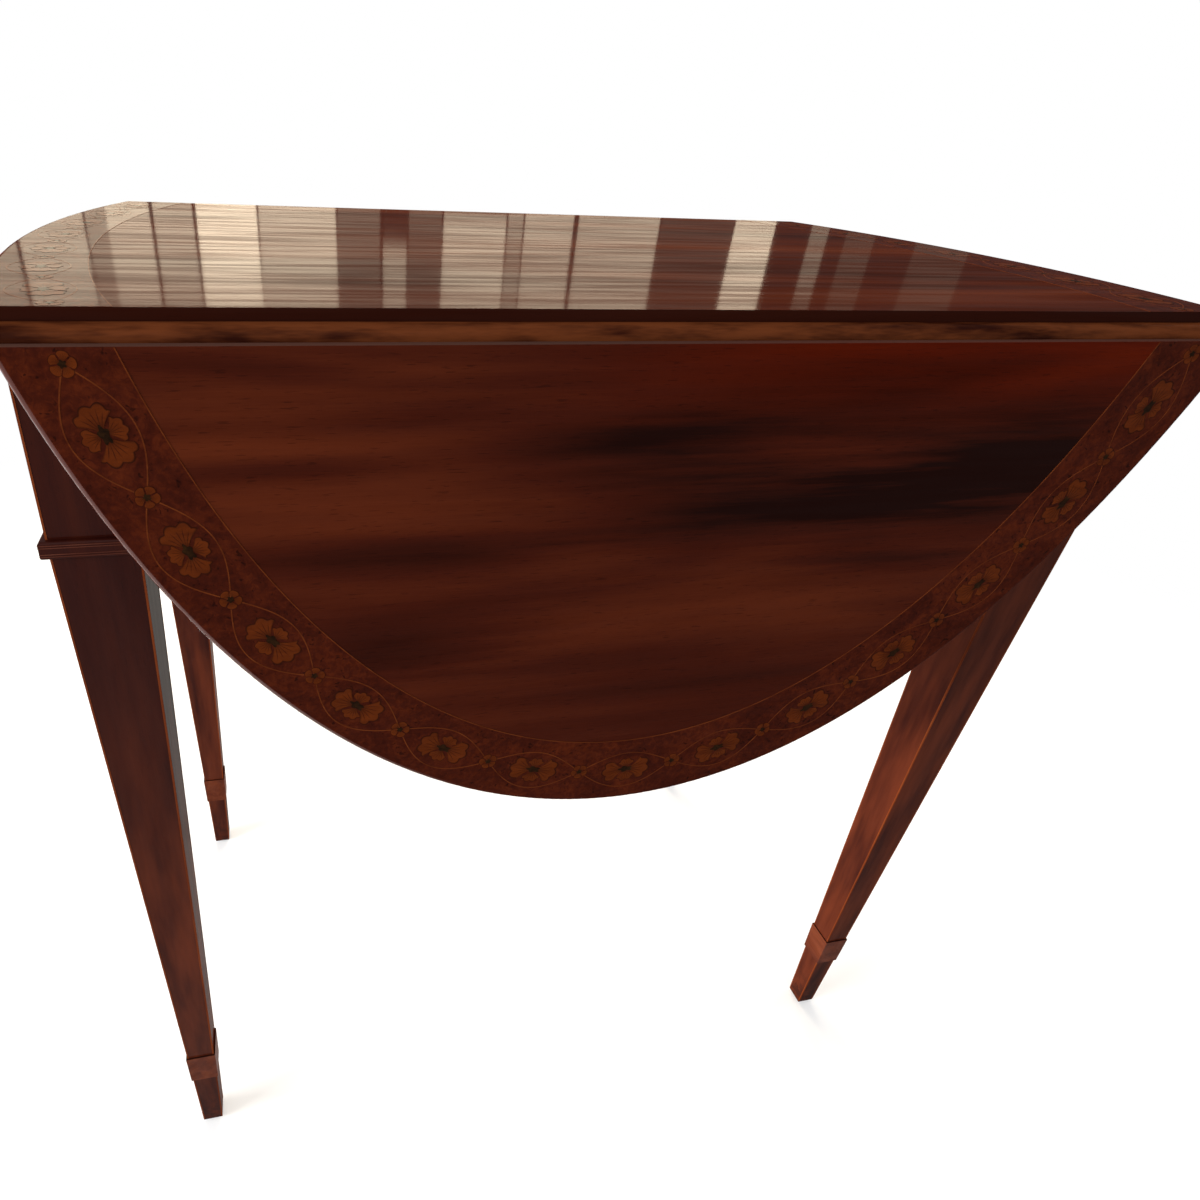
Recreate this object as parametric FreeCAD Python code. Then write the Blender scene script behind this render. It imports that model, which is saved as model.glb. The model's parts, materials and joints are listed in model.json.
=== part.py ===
"""Oval Pembroke table: a fixed top with two rule-jointed leaves, a frame on square tapered legs, wooden
knuckle fly brackets under each leaf, a drawer in the right end and a matching sham drawer in the left end.

Millimetres. X runs along the hinge lines, the near leaf is on the -Y side, Z is up from the floor.
The leaves hang, the fly brackets are folded and the drawer is shut.
"""
import FreeCAD, Part
import math
import os

V = FreeCAD.Vector

# Overall sizes
TABLE_HEIGHT = 720.0
TOP_LENGTH = 704.0
OPEN_WIDTH = 1020.0
CENTRE_WIDTH = 424.0
BOARD_THICKNESS = 16.0
EDGE_ROUND = 3.0

# Rule joint between the top and a leaf
JOINT_FILLET = 5.5
OVOLO_RADIUS = 7.0
COVE_GAP = 0.35
LEAF_LINE_GAP = 0.3

# Table hinges, two to a leaf
HINGE_SPACING = 380.0
HINGE_WIDTH = 36.0
HINGE_PLATE_REACH = 30.0
HINGE_FLAP_REACH = 40.0
HINGE_LEAF_THICKNESS = 2.0
KNUCKLE_RADIUS = 3.2
KNUCKLE_SIDE_GAP = 0.3
KNUCKLE_NOTCH_GAP = 0.8
HINGE_PIN_RADIUS = 1.5
PIN_CLEARANCE = 0.05
GAIN_CLEARANCE = 0.3
KNUCKLE_CHANNEL_GAP = 0.5
HINGE_SCREW_PITCH = 22.0
HINGE_SCREW_START = 14.0
HINGE_SCREW_TIP_MARGIN = 6.5
HINGE_SCREW_HEAD_RADIUS = 2.9
HINGE_SCREW_SHANK_RADIUS = 1.4
HINGE_SCREW_LENGTH = 11.0

# Legs
LEG_BLOCK = 44.0
LEG_ANKLE = 21.0
LEG_TOE = 16.0
LEG_SIDE_INSET = 28.0
LEG_END_INSET = 2.0
TOE_ROUND = 3.5
COLLAR_HEIGHT = 10.0
COLLAR_PROJECTION = 3.5
COLLAR_ROUND = 1.5
ANKLE_HEIGHT = 108.0
ANKLE_BAND_HEIGHT = 34.0
ANKLE_BAND_PROJECTION = 1.2

# Frieze and its joinery
FRIEZE_DEPTH = 102.0
FLY_THICKNESS = 20.0
FLY_SET_BACK = 0.8
FLY_RAIL_GAP = 0.7
TENON_LENGTH = 20.0
TENON_THICKNESS = 8.0
TENON_SHOULDER = 20.0
TENON_END_GAP = 0.4
STUB_TENON_LENGTH = 14.0
STUB_TENON_SHOULDER = 5.0
END_SET_BACK = 2.0
BOW_RISE = 13.0
APRON_THICKNESS = 22.0
APRON_TENON_INSET = 9.0
DRAWER_RAIL_HEIGHT = 18.0
DRAWER_RAIL_DEPTH = 28.0

# Wooden knuckle fly brackets
FLY_PIVOT_OFFSET = 75.0
FLY_FINGERS = 5
FINGER_GAP = 0.3
FINGER_END_GAP = 0.4
FLY_PIN_RADIUS = 3.0
FLY_TOP_GAP = 0.6
FLY_BOTTOM_GAP = 2.0
FLY_TIP_GAP = 2.0
FLY_TIP_HEIGHT = 38.0
FLY_TIP_FLAT = 28.0
FLY_ROOT_FLAT = 34.0
FLY_SCREW_OFFSET = 38.0

# Drawer and its runners
DRAWER_LENGTH = 420.0
DRAWER_SIDE_GAP = 1.0
DRAWER_FRONT_GAP = 0.8
DRAWER_RUNNING_GAP = 0.3
DRAWER_FRONT_THICKNESS = 20.0
DRAWER_LINING = 9.0
DRAWER_TOP_DROP = 4.0
DRAWER_BOTTOM_THICKNESS = 6.0
DRAWER_BOTTOM_LIFT = 6.0
DRAWER_GROOVE = 4.0
GROOVE_GAP = 0.1
DOVETAILS = 3
DOVETAIL_PIN = 5.0
DOVETAIL_SLOPE = 1 / 6
DOVETAIL_LAP = 12.0
RUNNER_WIDTH = 23.0
STOP_HEIGHT = 4.0
STOP_LENGTH = 6.0
STOP_WIDTH = 30.0
STOP_OFFSET = 60.0
BEAD_WIDTH = 2.5
BEAD_PROJECTION = 2.0
BEAD_DEPTH = 4.0

# Brass knobs
KNOB_OFFSET = 70.0
KNOB_ROSE_RADIUS = 10.0
KNOB_HEAD_RADIUS = 9.0
KNOB_NECK_RADIUS = 4.5
KNOB_ROSE_THICKNESS = 2.4
KNOB_NECK_HEIGHT = 8.0
KNOB_BRIM_HEIGHT = 14.0
KNOB_BRIM_THICKNESS = 0.8
KNOB_LENGTH = 20.0
KNOB_SHANK_RADIUS = 2.2
KNOB_SHANK_LENGTH = 14.0
KNOB_SEAT_GAP = 0.1

# Wood screws through the kickers and the fly blocks
SCREW_HEAD_RADIUS = 4.2
SCREW_SHANK_RADIUS = 2.1
SCREW_BITE = 10.0
TOP_SCREW_SPACING = 200.0
SCREW_CLEARANCE = 0.05

# How far a cutting tool runs past the face that it opens
CUT_MARGIN = 1.0

# Heights and lines that follow from the sizes
HALF_CENTRE = CENTRE_WIDTH / 2
UNDERSIDE = TABLE_HEIGHT - BOARD_THICKNESS
HINGE_AXIS_DROP = JOINT_FILLET + OVOLO_RADIUS
HINGE_AXIS_Z = TABLE_HEIGHT - HINGE_AXIS_DROP
AXIS_ABOVE_UNDERSIDE = HINGE_AXIS_Z - UNDERSIDE
FRIEZE_BOTTOM = UNDERSIDE - FRIEZE_DEPTH
KNEE_HEIGHT = FRIEZE_BOTTOM - COLLAR_HEIGHT
LEG_OUTER_Y = HALF_CENTRE - LEG_SIDE_INSET
LEG_INNER_Y = LEG_OUTER_Y - LEG_BLOCK
LEG_CENTRE_Y = LEG_OUTER_Y - LEG_BLOCK / 2
OVAL_AT_LEG = TOP_LENGTH / 2 * math.sqrt(1 - (LEG_OUTER_Y / (OPEN_WIDTH / 2)) ** 2)
LEG_OUTER_X = OVAL_AT_LEG - LEG_END_INSET
LEG_INNER_X = LEG_OUTER_X - LEG_BLOCK
LEG_CENTRE_X = LEG_OUTER_X - LEG_BLOCK / 2
FLY_OUTER_Y = LEG_OUTER_Y - FLY_SET_BACK
FLY_INNER_Y = FLY_OUTER_Y - FLY_THICKNESS
FLY_PIVOT_Y = FLY_OUTER_Y - FLY_THICKNESS / 2
FLY_TOP = UNDERSIDE - FLY_TOP_GAP
FLY_BOTTOM = FRIEZE_BOTTOM + FLY_BOTTOM_GAP
RAIL_OUTER_Y = FLY_INNER_Y - FLY_RAIL_GAP
END_FACE_X = LEG_OUTER_X - END_SET_BACK
RAIL_BACK_X = END_FACE_X - DRAWER_RAIL_DEPTH
APRON_BACK_X = END_FACE_X - APRON_THICKNESS
OPENING_BOTTOM = FRIEZE_BOTTOM + DRAWER_RAIL_HEIGHT
OPENING_TOP = UNDERSIDE - DRAWER_RAIL_HEIGHT
FRONT_BOTTOM = OPENING_BOTTOM + DRAWER_FRONT_GAP
FRONT_TOP = OPENING_TOP - DRAWER_FRONT_GAP
FRONT_HALF_WIDTH = LEG_INNER_Y - DRAWER_SIDE_GAP
FRONT_BACK_X = END_FACE_X - DRAWER_FRONT_THICKNESS
DRAWER_BACK_X = FRONT_BACK_X - DRAWER_LENGTH
LINING_INNER_Y = FRONT_HALF_WIDTH - DRAWER_LINING
LINING_BOTTOM = OPENING_BOTTOM + DRAWER_RUNNING_GAP
LINING_TOP = FRONT_TOP - DRAWER_TOP_DROP
BOTTOM_LOW = LINING_BOTTOM + DRAWER_BOTTOM_LIFT
BOTTOM_HIGH = BOTTOM_LOW + DRAWER_BOTTOM_THICKNESS
RUNNER_INNER_Y = LEG_INNER_Y - RUNNER_WIDTH
BOW_RADIUS = (LEG_INNER_Y ** 2 + BOW_RISE ** 2) / (2 * BOW_RISE)
FAR_OUT = OPEN_WIDTH + TOP_LENGTH


def box(x0, x1, y0, y1, z0, z1):
    """Block between two corners."""
    return Part.makeBox(x1 - x0, y1 - y0, z1 - z0, V(x0, y0, z0))


def mirrored(shape, right, near):
    """Carries a piece made at the right near corner to the named corner."""
    if not right:
        shape = shape.mirror(V(0, 0, 0), V(1, 0, 0))
    if not near:
        shape = shape.mirror(V(0, 0, 0), V(0, 1, 0))
    return shape


def corner_name(right, near):
    """Words for a corner of the table."""
    return ("near" if near else "far") + "_" + ("right" if right else "left")


def square_wire(width, x, y, z):
    """Square outline, level, about a centre."""
    h = width / 2
    points = [V(x - h, y - h, z), V(x + h, y - h, z), V(x + h, y + h, z), V(x - h, y + h, z)]
    return Part.makePolygon(points + points[:1])


def save(name, *solids):
    """Writes one named piece, or a group of identical ones."""
    shape = solids[0] if len(solids) == 1 else Part.makeCompound(list(solids))
    shape.exportStep("parts/" + name + ".step")


def countersunk(head_radius, shank_radius, length, gap=0.0):
    """Screw, or with a gap the hole for it, from its head's flat at the origin along +Z."""
    head_depth = head_radius - shank_radius
    head = Part.makeCone(head_radius + gap, shank_radius + gap, head_depth)
    shank = Part.makeCylinder(shank_radius + gap, length - head_depth, V(0, 0, head_depth))
    return head.fuse(shank).removeSplitter()


def placed(shape, position, direction):
    """Turns a shape made along +Z to a direction and sets it at a position."""
    copy = shape.copy()
    copy.Placement = FreeCAD.Placement(position, FreeCAD.Rotation(V(0, 0, 1), direction))
    return copy


# Boards: one oval blank gives the top and both leaves

def oval_blank():
    """Whole oval board with its upper and lower edges rounded."""
    axes = sorted([(OPEN_WIDTH / 2, V(0, 1, 0)), (TOP_LENGTH / 2, V(1, 0, 0))], key=lambda item: -item[0])
    outline = Part.Ellipse(axes[0][1] * axes[0][0], axes[1][1] * axes[1][0], V(0, 0, 0))
    face = Part.Face(Part.Wire([outline.toShape()]))
    blank = face.extrude(V(0, 0, BOARD_THICKNESS))
    blank.translate(V(0, 0, UNDERSIDE))
    rims = [edge for edge in blank.Edges if isinstance(edge.Curve, Part.Ellipse)]
    return blank.makeFillet(EDGE_ROUND, rims)


def along_hinge(radius, start_x=-FAR_OUT / 2, length=FAR_OUT):
    """Cylinder about the near hinge axis."""
    return Part.makeCylinder(radius, length, V(start_x, -HALF_CENTRE, HINGE_AXIS_Z), V(1, 0, 0))


def hinge_region(x, half_width, out_from, out_to, low, high):
    """Block beside the near hinge axis: distances outward from it and heights above it."""
    y0 = -HALF_CENTRE - out_to
    y1 = -HALF_CENTRE - out_from
    return box(x - half_width, x + half_width, y0, y1, HINGE_AXIS_Z + low, HINGE_AXIS_Z + high)


HINGE_PLACES = (-HINGE_SPACING / 2, HINGE_SPACING / 2)
PLATE_LOW = -AXIS_ABOVE_UNDERSIDE
PLATE_HIGH = PLATE_LOW + HINGE_LEAF_THICKNESS
NOTCH_START = KNUCKLE_RADIUS + KNUCKLE_NOTCH_GAP


def hinge_screw_places(reach):
    """Two screws near the knuckle and one at the tip of a hinge leaf, as (along, out)."""
    half = HINGE_SCREW_PITCH / 2
    return [(-half, HINGE_SCREW_START), (half, HINGE_SCREW_START), (0, reach - HINGE_SCREW_TIP_MARGIN)]


def hinge_screws(x, reach, side, gap=0.0):
    """Screws of one hinge leaf with the board level, side -1 on the top and +1 on the raised leaf."""
    screw = countersunk(HINGE_SCREW_HEAD_RADIUS, HINGE_SCREW_SHANK_RADIUS, HINGE_SCREW_LENGTH, gap)
    screws = []
    for along, out in hinge_screw_places(reach):
        spot = V(x + along, -HALF_CENTRE - side * out, UNDERSIDE)
        screws.append(placed(screw, spot, V(0, 0, 1)))
    return screws


def knuckle_span(index):
    """Start and end along the hinge of one of its three knuckles, before side gaps."""
    step = HINGE_WIDTH / 3
    return -HINGE_WIDTH / 2 + index * step, -HINGE_WIDTH / 2 + (index + 1) * step


def hinge_leaf(x, reach, side, knuckles):
    """Plate of a hinge with its own knuckles, notched beside the other plate's knuckles."""
    ends = sorted((side * NOTCH_START, side * reach))
    solid = hinge_region(x, HINGE_WIDTH / 2, ends[0], ends[1], PLATE_LOW, PLATE_HIGH)
    for index in knuckles:
        start, end = knuckle_span(index)
        start += KNUCKLE_SIDE_GAP / 2
        end -= KNUCKLE_SIDE_GAP / 2
        tab = sorted((0, side * NOTCH_START))
        middle = x + (start + end) / 2
        solid = solid.fuse([hinge_region(middle, (end - start) / 2, tab[0], tab[1], PLATE_LOW, PLATE_HIGH),
                            along_hinge(KNUCKLE_RADIUS, x + start, end - start)])
    bore = along_hinge(HINGE_PIN_RADIUS + PIN_CLEARANCE, x - HINGE_WIDTH, 2 * HINGE_WIDTH)
    return solid.cut([bore] + hinge_screws(x, reach, side, SCREW_CLEARANCE)).removeSplitter()


def top_gain(x):
    """Recess under the top for a hinge plate, its knuckle and the sweep of the flap."""
    half = HINGE_WIDTH / 2 + GAIN_CLEARANCE
    below = PLATE_LOW - CUT_MARGIN
    plate = hinge_region(x, half, -HINGE_PLATE_REACH - GAIN_CLEARANCE, -NOTCH_START, below, PLATE_HIGH)
    sweep = hinge_region(x, half, -NOTCH_START, OVOLO_RADIUS + CUT_MARGIN, below, PLATE_HIGH + GAIN_CLEARANCE)
    channel = along_hinge(KNUCKLE_RADIUS + KNUCKLE_CHANNEL_GAP, x - half, 2 * half)
    return [plate, sweep, channel]


def leaf_gain(x):
    """Recess under a level leaf for a hinge flap."""
    half = HINGE_WIDTH / 2 + GAIN_CLEARANCE
    return hinge_region(x, half, 0, HINGE_FLAP_REACH + GAIN_CLEARANCE, PLATE_LOW - CUT_MARGIN, PLATE_HIGH)


def hang(shape):
    """Turns a near leaf's piece from level to hanging about the hinge axis."""
    copy = shape.copy()
    copy.rotate(V(0, -HALF_CENTRE, HINGE_AXIS_Z), V(1, 0, 0), 90)
    return copy


def kicker_screw_places():
    """Positions of the screws that hold the top, on both kickers."""
    middle = (LEG_INNER_Y + RUNNER_INNER_Y) / 2
    spots = (-TOP_SCREW_SPACING, 0, TOP_SCREW_SPACING)
    return [V(x, side * middle, OPENING_TOP) for x in spots for side in (-1, 1)]


def top_screws(gap=0.0):
    """Screws up through the kickers into the top."""
    length = DRAWER_RAIL_HEIGHT + SCREW_BITE
    screw = countersunk(SCREW_HEAD_RADIUS, SCREW_SHANK_RADIUS, length, gap)
    return [placed(screw, spot, V(0, 0, 1)) for spot in kicker_screw_places()]


def make_boards():
    """Top and leaves with their rule joints, and the table hinges between them."""
    blank = oval_blank()
    middle = box(-FAR_OUT, FAR_OUT, -HALF_CENTRE, HALF_CENTRE, 0, 2 * TABLE_HEIGHT)
    near_ovolo = along_hinge(OVOLO_RADIUS)
    top = blank.common(middle.fuse([near_ovolo, mirrored(near_ovolo, True, False)]))
    beyond = box(-FAR_OUT, FAR_OUT, -FAR_OUT, -HALF_CENTRE - LEAF_LINE_GAP, 0, 2 * TABLE_HEIGHT)
    leaf = blank.common(beyond).cut(along_hinge(OVOLO_RADIUS + COVE_GAP))

    plates = []
    flaps = []
    pins = []
    plate_screws = []
    flap_screws = []
    for x in HINGE_PLACES:
        plates.append(hinge_leaf(x, HINGE_PLATE_REACH, -1, (0, 2)))
        flaps.append(hinge_leaf(x, HINGE_FLAP_REACH, 1, (1,)))
        pins.append(along_hinge(HINGE_PIN_RADIUS, x - HINGE_WIDTH / 2, HINGE_WIDTH))
        plate_screws += hinge_screws(x, HINGE_PLATE_REACH, -1)
        flap_screws += hinge_screws(x, HINGE_FLAP_REACH, 1)
        holes = hinge_screws(x, HINGE_PLATE_REACH, -1, SCREW_CLEARANCE)
        gains = top_gain(x) + holes
        top = top.cut(gains + [mirrored(tool, True, False) for tool in gains])
        leaf = leaf.cut([leaf_gain(x)] + hinge_screws(x, HINGE_FLAP_REACH, 1, SCREW_CLEARANCE))
    save("top_panel", top.cut(top_screws(SCREW_CLEARANCE)))

    for near in (True, False):
        side = "near" if near else "far"
        save("leaf_" + side, mirrored(hang(leaf), True, near))
        save("hinge_plates_" + side, *[mirrored(piece, True, near) for piece in plates])
        save("hinge_pins_" + side, *[mirrored(piece, True, near) for piece in pins])
        save("hinge_plate_screws_" + side, *[mirrored(piece, True, near) for piece in plate_screws])
        save("hinge_flaps_" + side, *[mirrored(hang(piece), True, near) for piece in flaps])
        save("hinge_flap_screws_" + side, *[mirrored(hang(piece), True, near) for piece in flap_screws])


# Legs and the tenons that enter them, all made at the right near corner

def rail_tenon(end_gap=0.0):
    """Side rail's tenon, or with an end gap its mortise."""
    middle = -(LEG_INNER_Y + RAIL_OUTER_Y) / 2
    half = TENON_THICKNESS / 2
    low = FRIEZE_BOTTOM + TENON_SHOULDER
    high = UNDERSIDE - TENON_SHOULDER
    return box(LEG_INNER_X, LEG_INNER_X + TENON_LENGTH + end_gap, middle - half, middle + half, low, high)


def stub_tenon(low, end_gap=0.0):
    """Near tenon of a drawer rail whose underside is at the given height."""
    middle = RAIL_BACK_X + DRAWER_RAIL_DEPTH / 2
    half = TENON_THICKNESS / 2
    y_end = -LEG_INNER_Y - STUB_TENON_LENGTH - end_gap
    top = low + DRAWER_RAIL_HEIGHT - STUB_TENON_SHOULDER
    return box(middle - half, middle + half, y_end, -LEG_INNER_Y, low + STUB_TENON_SHOULDER, top)


def apron_tenon(end_gap=0.0):
    """Near tenon of the end apron, made at the right end and mirrored to the left."""
    x1 = END_FACE_X - APRON_TENON_INSET
    y_end = -LEG_INNER_Y - STUB_TENON_LENGTH - end_gap
    low = FRIEZE_BOTTOM + TENON_SHOULDER
    return box(x1 - TENON_THICKNESS, x1, y_end, -LEG_INNER_Y, low, UNDERSIDE - TENON_SHOULDER)


def leg_blank():
    """Square leg: straight block above the knee, long taper to the ankle, short taper to the toe."""
    sections = ((0.0, LEG_TOE), (ANKLE_HEIGHT, LEG_ANKLE), (KNEE_HEIGHT, LEG_BLOCK), (UNDERSIDE, LEG_BLOCK))
    wires = [square_wire(width, LEG_CENTRE_X, -LEG_CENTRE_Y, z) for z, width in sections]
    solid = Part.makeLoft(wires, True, True)
    sole = [edge for edge in solid.Edges if edge.BoundBox.ZMax < TOE_ROUND]
    return solid.makeFillet(TOE_ROUND, sole)


def knee_collar(leg):
    """Moulded collar round the leg under the frieze, its outer edges rounded."""
    wide = LEG_BLOCK + 2 * COLLAR_PROJECTION
    face = Part.Face(square_wire(wide, LEG_CENTRE_X, -LEG_CENTRE_Y, KNEE_HEIGHT))
    collar = face.extrude(V(0, 0, COLLAR_HEIGHT))
    level = [edge for edge in collar.Edges if edge.BoundBox.ZLength < COLLAR_HEIGHT / 2]
    return collar.makeFillet(COLLAR_ROUND, level).cut(leg)


def ankle_band(leg):
    """Thin band round the ankle, tapering with the leg."""
    low = ANKLE_HEIGHT - ANKLE_BAND_HEIGHT
    slope = (LEG_ANKLE - LEG_TOE) / ANKLE_HEIGHT
    top_width = LEG_ANKLE + 2 * ANKLE_BAND_PROJECTION
    low_width = LEG_TOE + slope * low + 2 * ANKLE_BAND_PROJECTION
    wires = [square_wire(low_width, LEG_CENTRE_X, -LEG_CENTRE_Y, low),
             square_wire(top_width, LEG_CENTRE_X, -LEG_CENTRE_Y, ANKLE_HEIGHT)]
    return Part.makeLoft(wires, True, True).cut(leg)


def make_legs():
    """Four legs with their mortises, knee collars and ankle bands."""
    blank = leg_blank()
    collar = knee_collar(blank)
    band = ankle_band(blank)
    end_mortises = {
        True: [stub_tenon(FRIEZE_BOTTOM, TENON_END_GAP), stub_tenon(OPENING_TOP, TENON_END_GAP)],
        False: [apron_tenon(TENON_END_GAP)],
    }
    for right in (True, False):
        leg = blank.cut([rail_tenon(TENON_END_GAP)] + end_mortises[right])
        for near in (True, False):
            corner = corner_name(right, near)
            save("leg_" + corner, mirrored(leg, right, near))
            save("knee_collar_" + corner, mirrored(collar, right, near))
            save("ankle_band_" + corner, mirrored(band, right, near))


# Side rails and fly brackets, made on the near side

def finger_levels(taken):
    """Bottom and top of the knuckle fingers of one part: 0 takes the block's, 1 the bracket's."""
    step = (FLY_TOP - FLY_BOTTOM) / FLY_FINGERS
    return [(FLY_BOTTOM + k * step, FLY_BOTTOM + (k + 1) * step) for k in range(taken, FLY_FINGERS, 2)]


def fly_cylinder(radius, low, high):
    """Upright cylinder about the right near bracket's pivot."""
    return Part.makeCylinder(radius, high - low, V(FLY_PIVOT_OFFSET, -FLY_PIVOT_Y, low))


def finger_slots(taken, toward):
    """Slots for the other part's fingers: round behind the pivot and square on the outer side for the swing.

    toward is -1 where the slotted part lies on the table's middle side of the pivot and +1 on the leg's side.
    """
    radius = FLY_THICKNESS / 2 + FINGER_END_GAP
    slots = []
    for low, high in finger_levels(taken):
        low -= FINGER_GAP / 2
        high += FINGER_GAP / 2
        x_ends = sorted((FLY_PIVOT_OFFSET + toward * radius, FLY_PIVOT_OFFSET - toward * 2 * radius))
        square = box(x_ends[0], x_ends[1], -FLY_OUTER_Y - CUT_MARGIN, -FLY_PIVOT_Y, low, high)
        behind = sorted((FLY_PIVOT_OFFSET, FLY_PIVOT_OFFSET - toward * 2 * radius))
        back = box(behind[0], behind[1], -FLY_PIVOT_Y, -RAIL_OUTER_Y + CUT_MARGIN, low, high)
        slots += [fly_cylinder(radius, low, high), square, back]
    return slots


def fly_screw_places():
    """Heads of the two screws that hold a fly block to its side rail."""
    middle = (FLY_BOTTOM + FLY_TOP) / 2
    return [V(x, -FLY_OUTER_Y, middle) for x in (-FLY_SCREW_OFFSET, FLY_SCREW_OFFSET)]


def fly_screws(gap=0.0):
    """Screws through the near fly block into the side rail."""
    length = FLY_OUTER_Y - RAIL_OUTER_Y + SCREW_BITE
    screw = countersunk(SCREW_HEAD_RADIUS, SCREW_SHANK_RADIUS, length, gap)
    return [placed(screw, spot, V(0, 1, 0)) for spot in fly_screw_places()]


def fly_block():
    """Fixed middle of the fly rail with round-nosed fingers at both ends."""
    block = box(-FLY_PIVOT_OFFSET, FLY_PIVOT_OFFSET, -FLY_OUTER_Y, -RAIL_OUTER_Y, FLY_BOTTOM, FLY_TOP)
    nose = fly_cylinder(FLY_THICKNESS / 2, FLY_BOTTOM, FLY_TOP)
    pin_hole = fly_cylinder(FLY_PIN_RADIUS + PIN_CLEARANCE, FLY_BOTTOM - CUT_MARGIN, FLY_TOP + CUT_MARGIN)
    tools = finger_slots(1, -1) + [pin_hole]
    block = block.fuse([nose, mirrored(nose, False, True)])
    return block.cut(tools + [mirrored(tool, False, True) for tool in tools]).removeSplitter()


def ogee(x0, z0, x1, z1):
    """Reversed curve with level ends: two equal arcs that meet halfway."""
    rise = z1 - z0
    run = x1 - x0
    radius = (run ** 2 + rise ** 2) / (4 * rise)
    quarter = math.atan2(rise, run)
    across = radius * math.sin(quarter)
    up = radius * (1 - math.cos(quarter))
    middle = V((x0 + x1) / 2, 0, (z0 + z1) / 2)
    first = Part.Arc(V(x0, 0, z0), V(x0 + across, 0, z0 + up), middle)
    second = Part.Arc(middle, V(x1 - across, 0, z1 - up), V(x1, 0, z1))
    return [first.toShape(), second.toShape()]


def fly_bracket():
    """Right near bracket, folded: fingers at the pivot, an ogee lower edge and a shallow tip."""
    tip_x = LEG_INNER_X - FLY_TIP_GAP
    tip_z = FLY_TOP - FLY_TIP_HEIGHT
    root_x = FLY_PIVOT_OFFSET + FLY_ROOT_FLAT
    rise_x = tip_x - FLY_TIP_FLAT
    corners = [V(rise_x, 0, tip_z), V(tip_x, 0, tip_z), V(tip_x, 0, FLY_TOP), V(FLY_PIVOT_OFFSET, 0, FLY_TOP),
               V(FLY_PIVOT_OFFSET, 0, FLY_BOTTOM), V(root_x, 0, FLY_BOTTOM)]
    edges = [Part.LineSegment(a, b).toShape() for a, b in zip(corners, corners[1:])]
    outline = Part.Wire(Part.__sortEdges__(edges + ogee(root_x, FLY_BOTTOM, rise_x, tip_z)))
    arm = Part.Face(outline).extrude(V(0, FLY_THICKNESS, 0))
    arm.translate(V(0, -FLY_OUTER_Y, 0))
    arm = arm.fuse(fly_cylinder(FLY_THICKNESS / 2, FLY_BOTTOM, FLY_TOP))
    pin_hole = fly_cylinder(FLY_PIN_RADIUS + PIN_CLEARANCE, FLY_BOTTOM - CUT_MARGIN, FLY_TOP + CUT_MARGIN)
    return arm.cut(finger_slots(0, 1) + [pin_hole]).removeSplitter()


def make_sides():
    """Side rails, fly blocks, brackets and their pins."""
    rail = box(-LEG_INNER_X, LEG_INNER_X, -RAIL_OUTER_Y, -LEG_INNER_Y, FRIEZE_BOTTOM, UNDERSIDE)
    rail = rail.fuse([rail_tenon(), mirrored(rail_tenon(), False, True)])
    rail = rail.cut(fly_screws(SCREW_CLEARANCE)).removeSplitter()
    block = fly_block().cut(fly_screws(SCREW_CLEARANCE))
    bracket = fly_bracket()
    pin = fly_cylinder(FLY_PIN_RADIUS, FLY_BOTTOM, FLY_TOP)
    screws = []
    for near in (True, False):
        side = "near" if near else "far"
        save("side_rail_" + side, mirrored(rail, True, near))
        save("fly_block_" + side, mirrored(block, True, near))
        save("fly_pins_" + side, *[mirrored(pin, right, near) for right in (True, False)])
        screws += [mirrored(screw, True, near) for screw in fly_screws()]
        for right in (True, False):
            save("fly_bracket_" + corner_name(right, near), mirrored(bracket, right, near))
    save("fly_block_screws", *screws)


# Bowed ends: drawer rails and drawer at the right, sham drawer at the left

def bowed_block(back_x, low, high, forward=0.0):
    """Block between the legs whose outer face is an arc bowed towards +X, shifted forward if asked."""
    face_x = END_FACE_X + forward
    crown = V(face_x + BOW_RISE, 0, low)
    near = V(face_x, -LEG_INNER_Y, low)
    far = V(face_x, LEG_INNER_Y, low)
    back_near = V(back_x, -LEG_INNER_Y, low)
    back_far = V(back_x, LEG_INNER_Y, low)
    edges = [Part.Arc(near, crown, far).toShape(), Part.LineSegment(far, back_far).toShape(),
             Part.LineSegment(back_far, back_near).toShape(), Part.LineSegment(back_near, near).toShape()]
    return Part.Face(Part.Wire(edges)).extrude(V(0, 0, high - low))


def bow_point(y):
    """Point on the bowed face at mid drawer height and the direction straight out of it."""
    turn = math.asin(y / BOW_RADIUS)
    centre_x = END_FACE_X + BOW_RISE - BOW_RADIUS
    out = V(math.cos(turn), math.sin(turn), 0)
    return V(centre_x, 0, (FRONT_BOTTOM + FRONT_TOP) / 2) + out * BOW_RADIUS, out


def front_window(margin):
    """Block through the right end, the drawer front's outline drawn in by a margin."""
    half = FRONT_HALF_WIDTH - margin
    return box(0, FAR_OUT, -half, half, FRONT_BOTTOM + margin, FRONT_TOP - margin)


def cock_bead():
    """Bead round the drawer front, let into its edges and standing proud of the bowed face."""
    strip = bowed_block(APRON_BACK_X, FRONT_BOTTOM, FRONT_TOP, BEAD_PROJECTION)
    strip = strip.cut(bowed_block(0, FRIEZE_BOTTOM, UNDERSIDE, -BEAD_DEPTH))
    return strip.common(front_window(0)).cut(front_window(BEAD_WIDTH))


def arc_about(centre, radius, start, end):
    """Arc in the XZ plane about a centre, between two angles in radians from +X towards +Z."""
    turns = (start, (start + end) / 2, end)
    points = [centre + V(math.cos(turn), 0, math.sin(turn)) * radius for turn in turns]
    return Part.Arc(*points).toShape()


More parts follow.
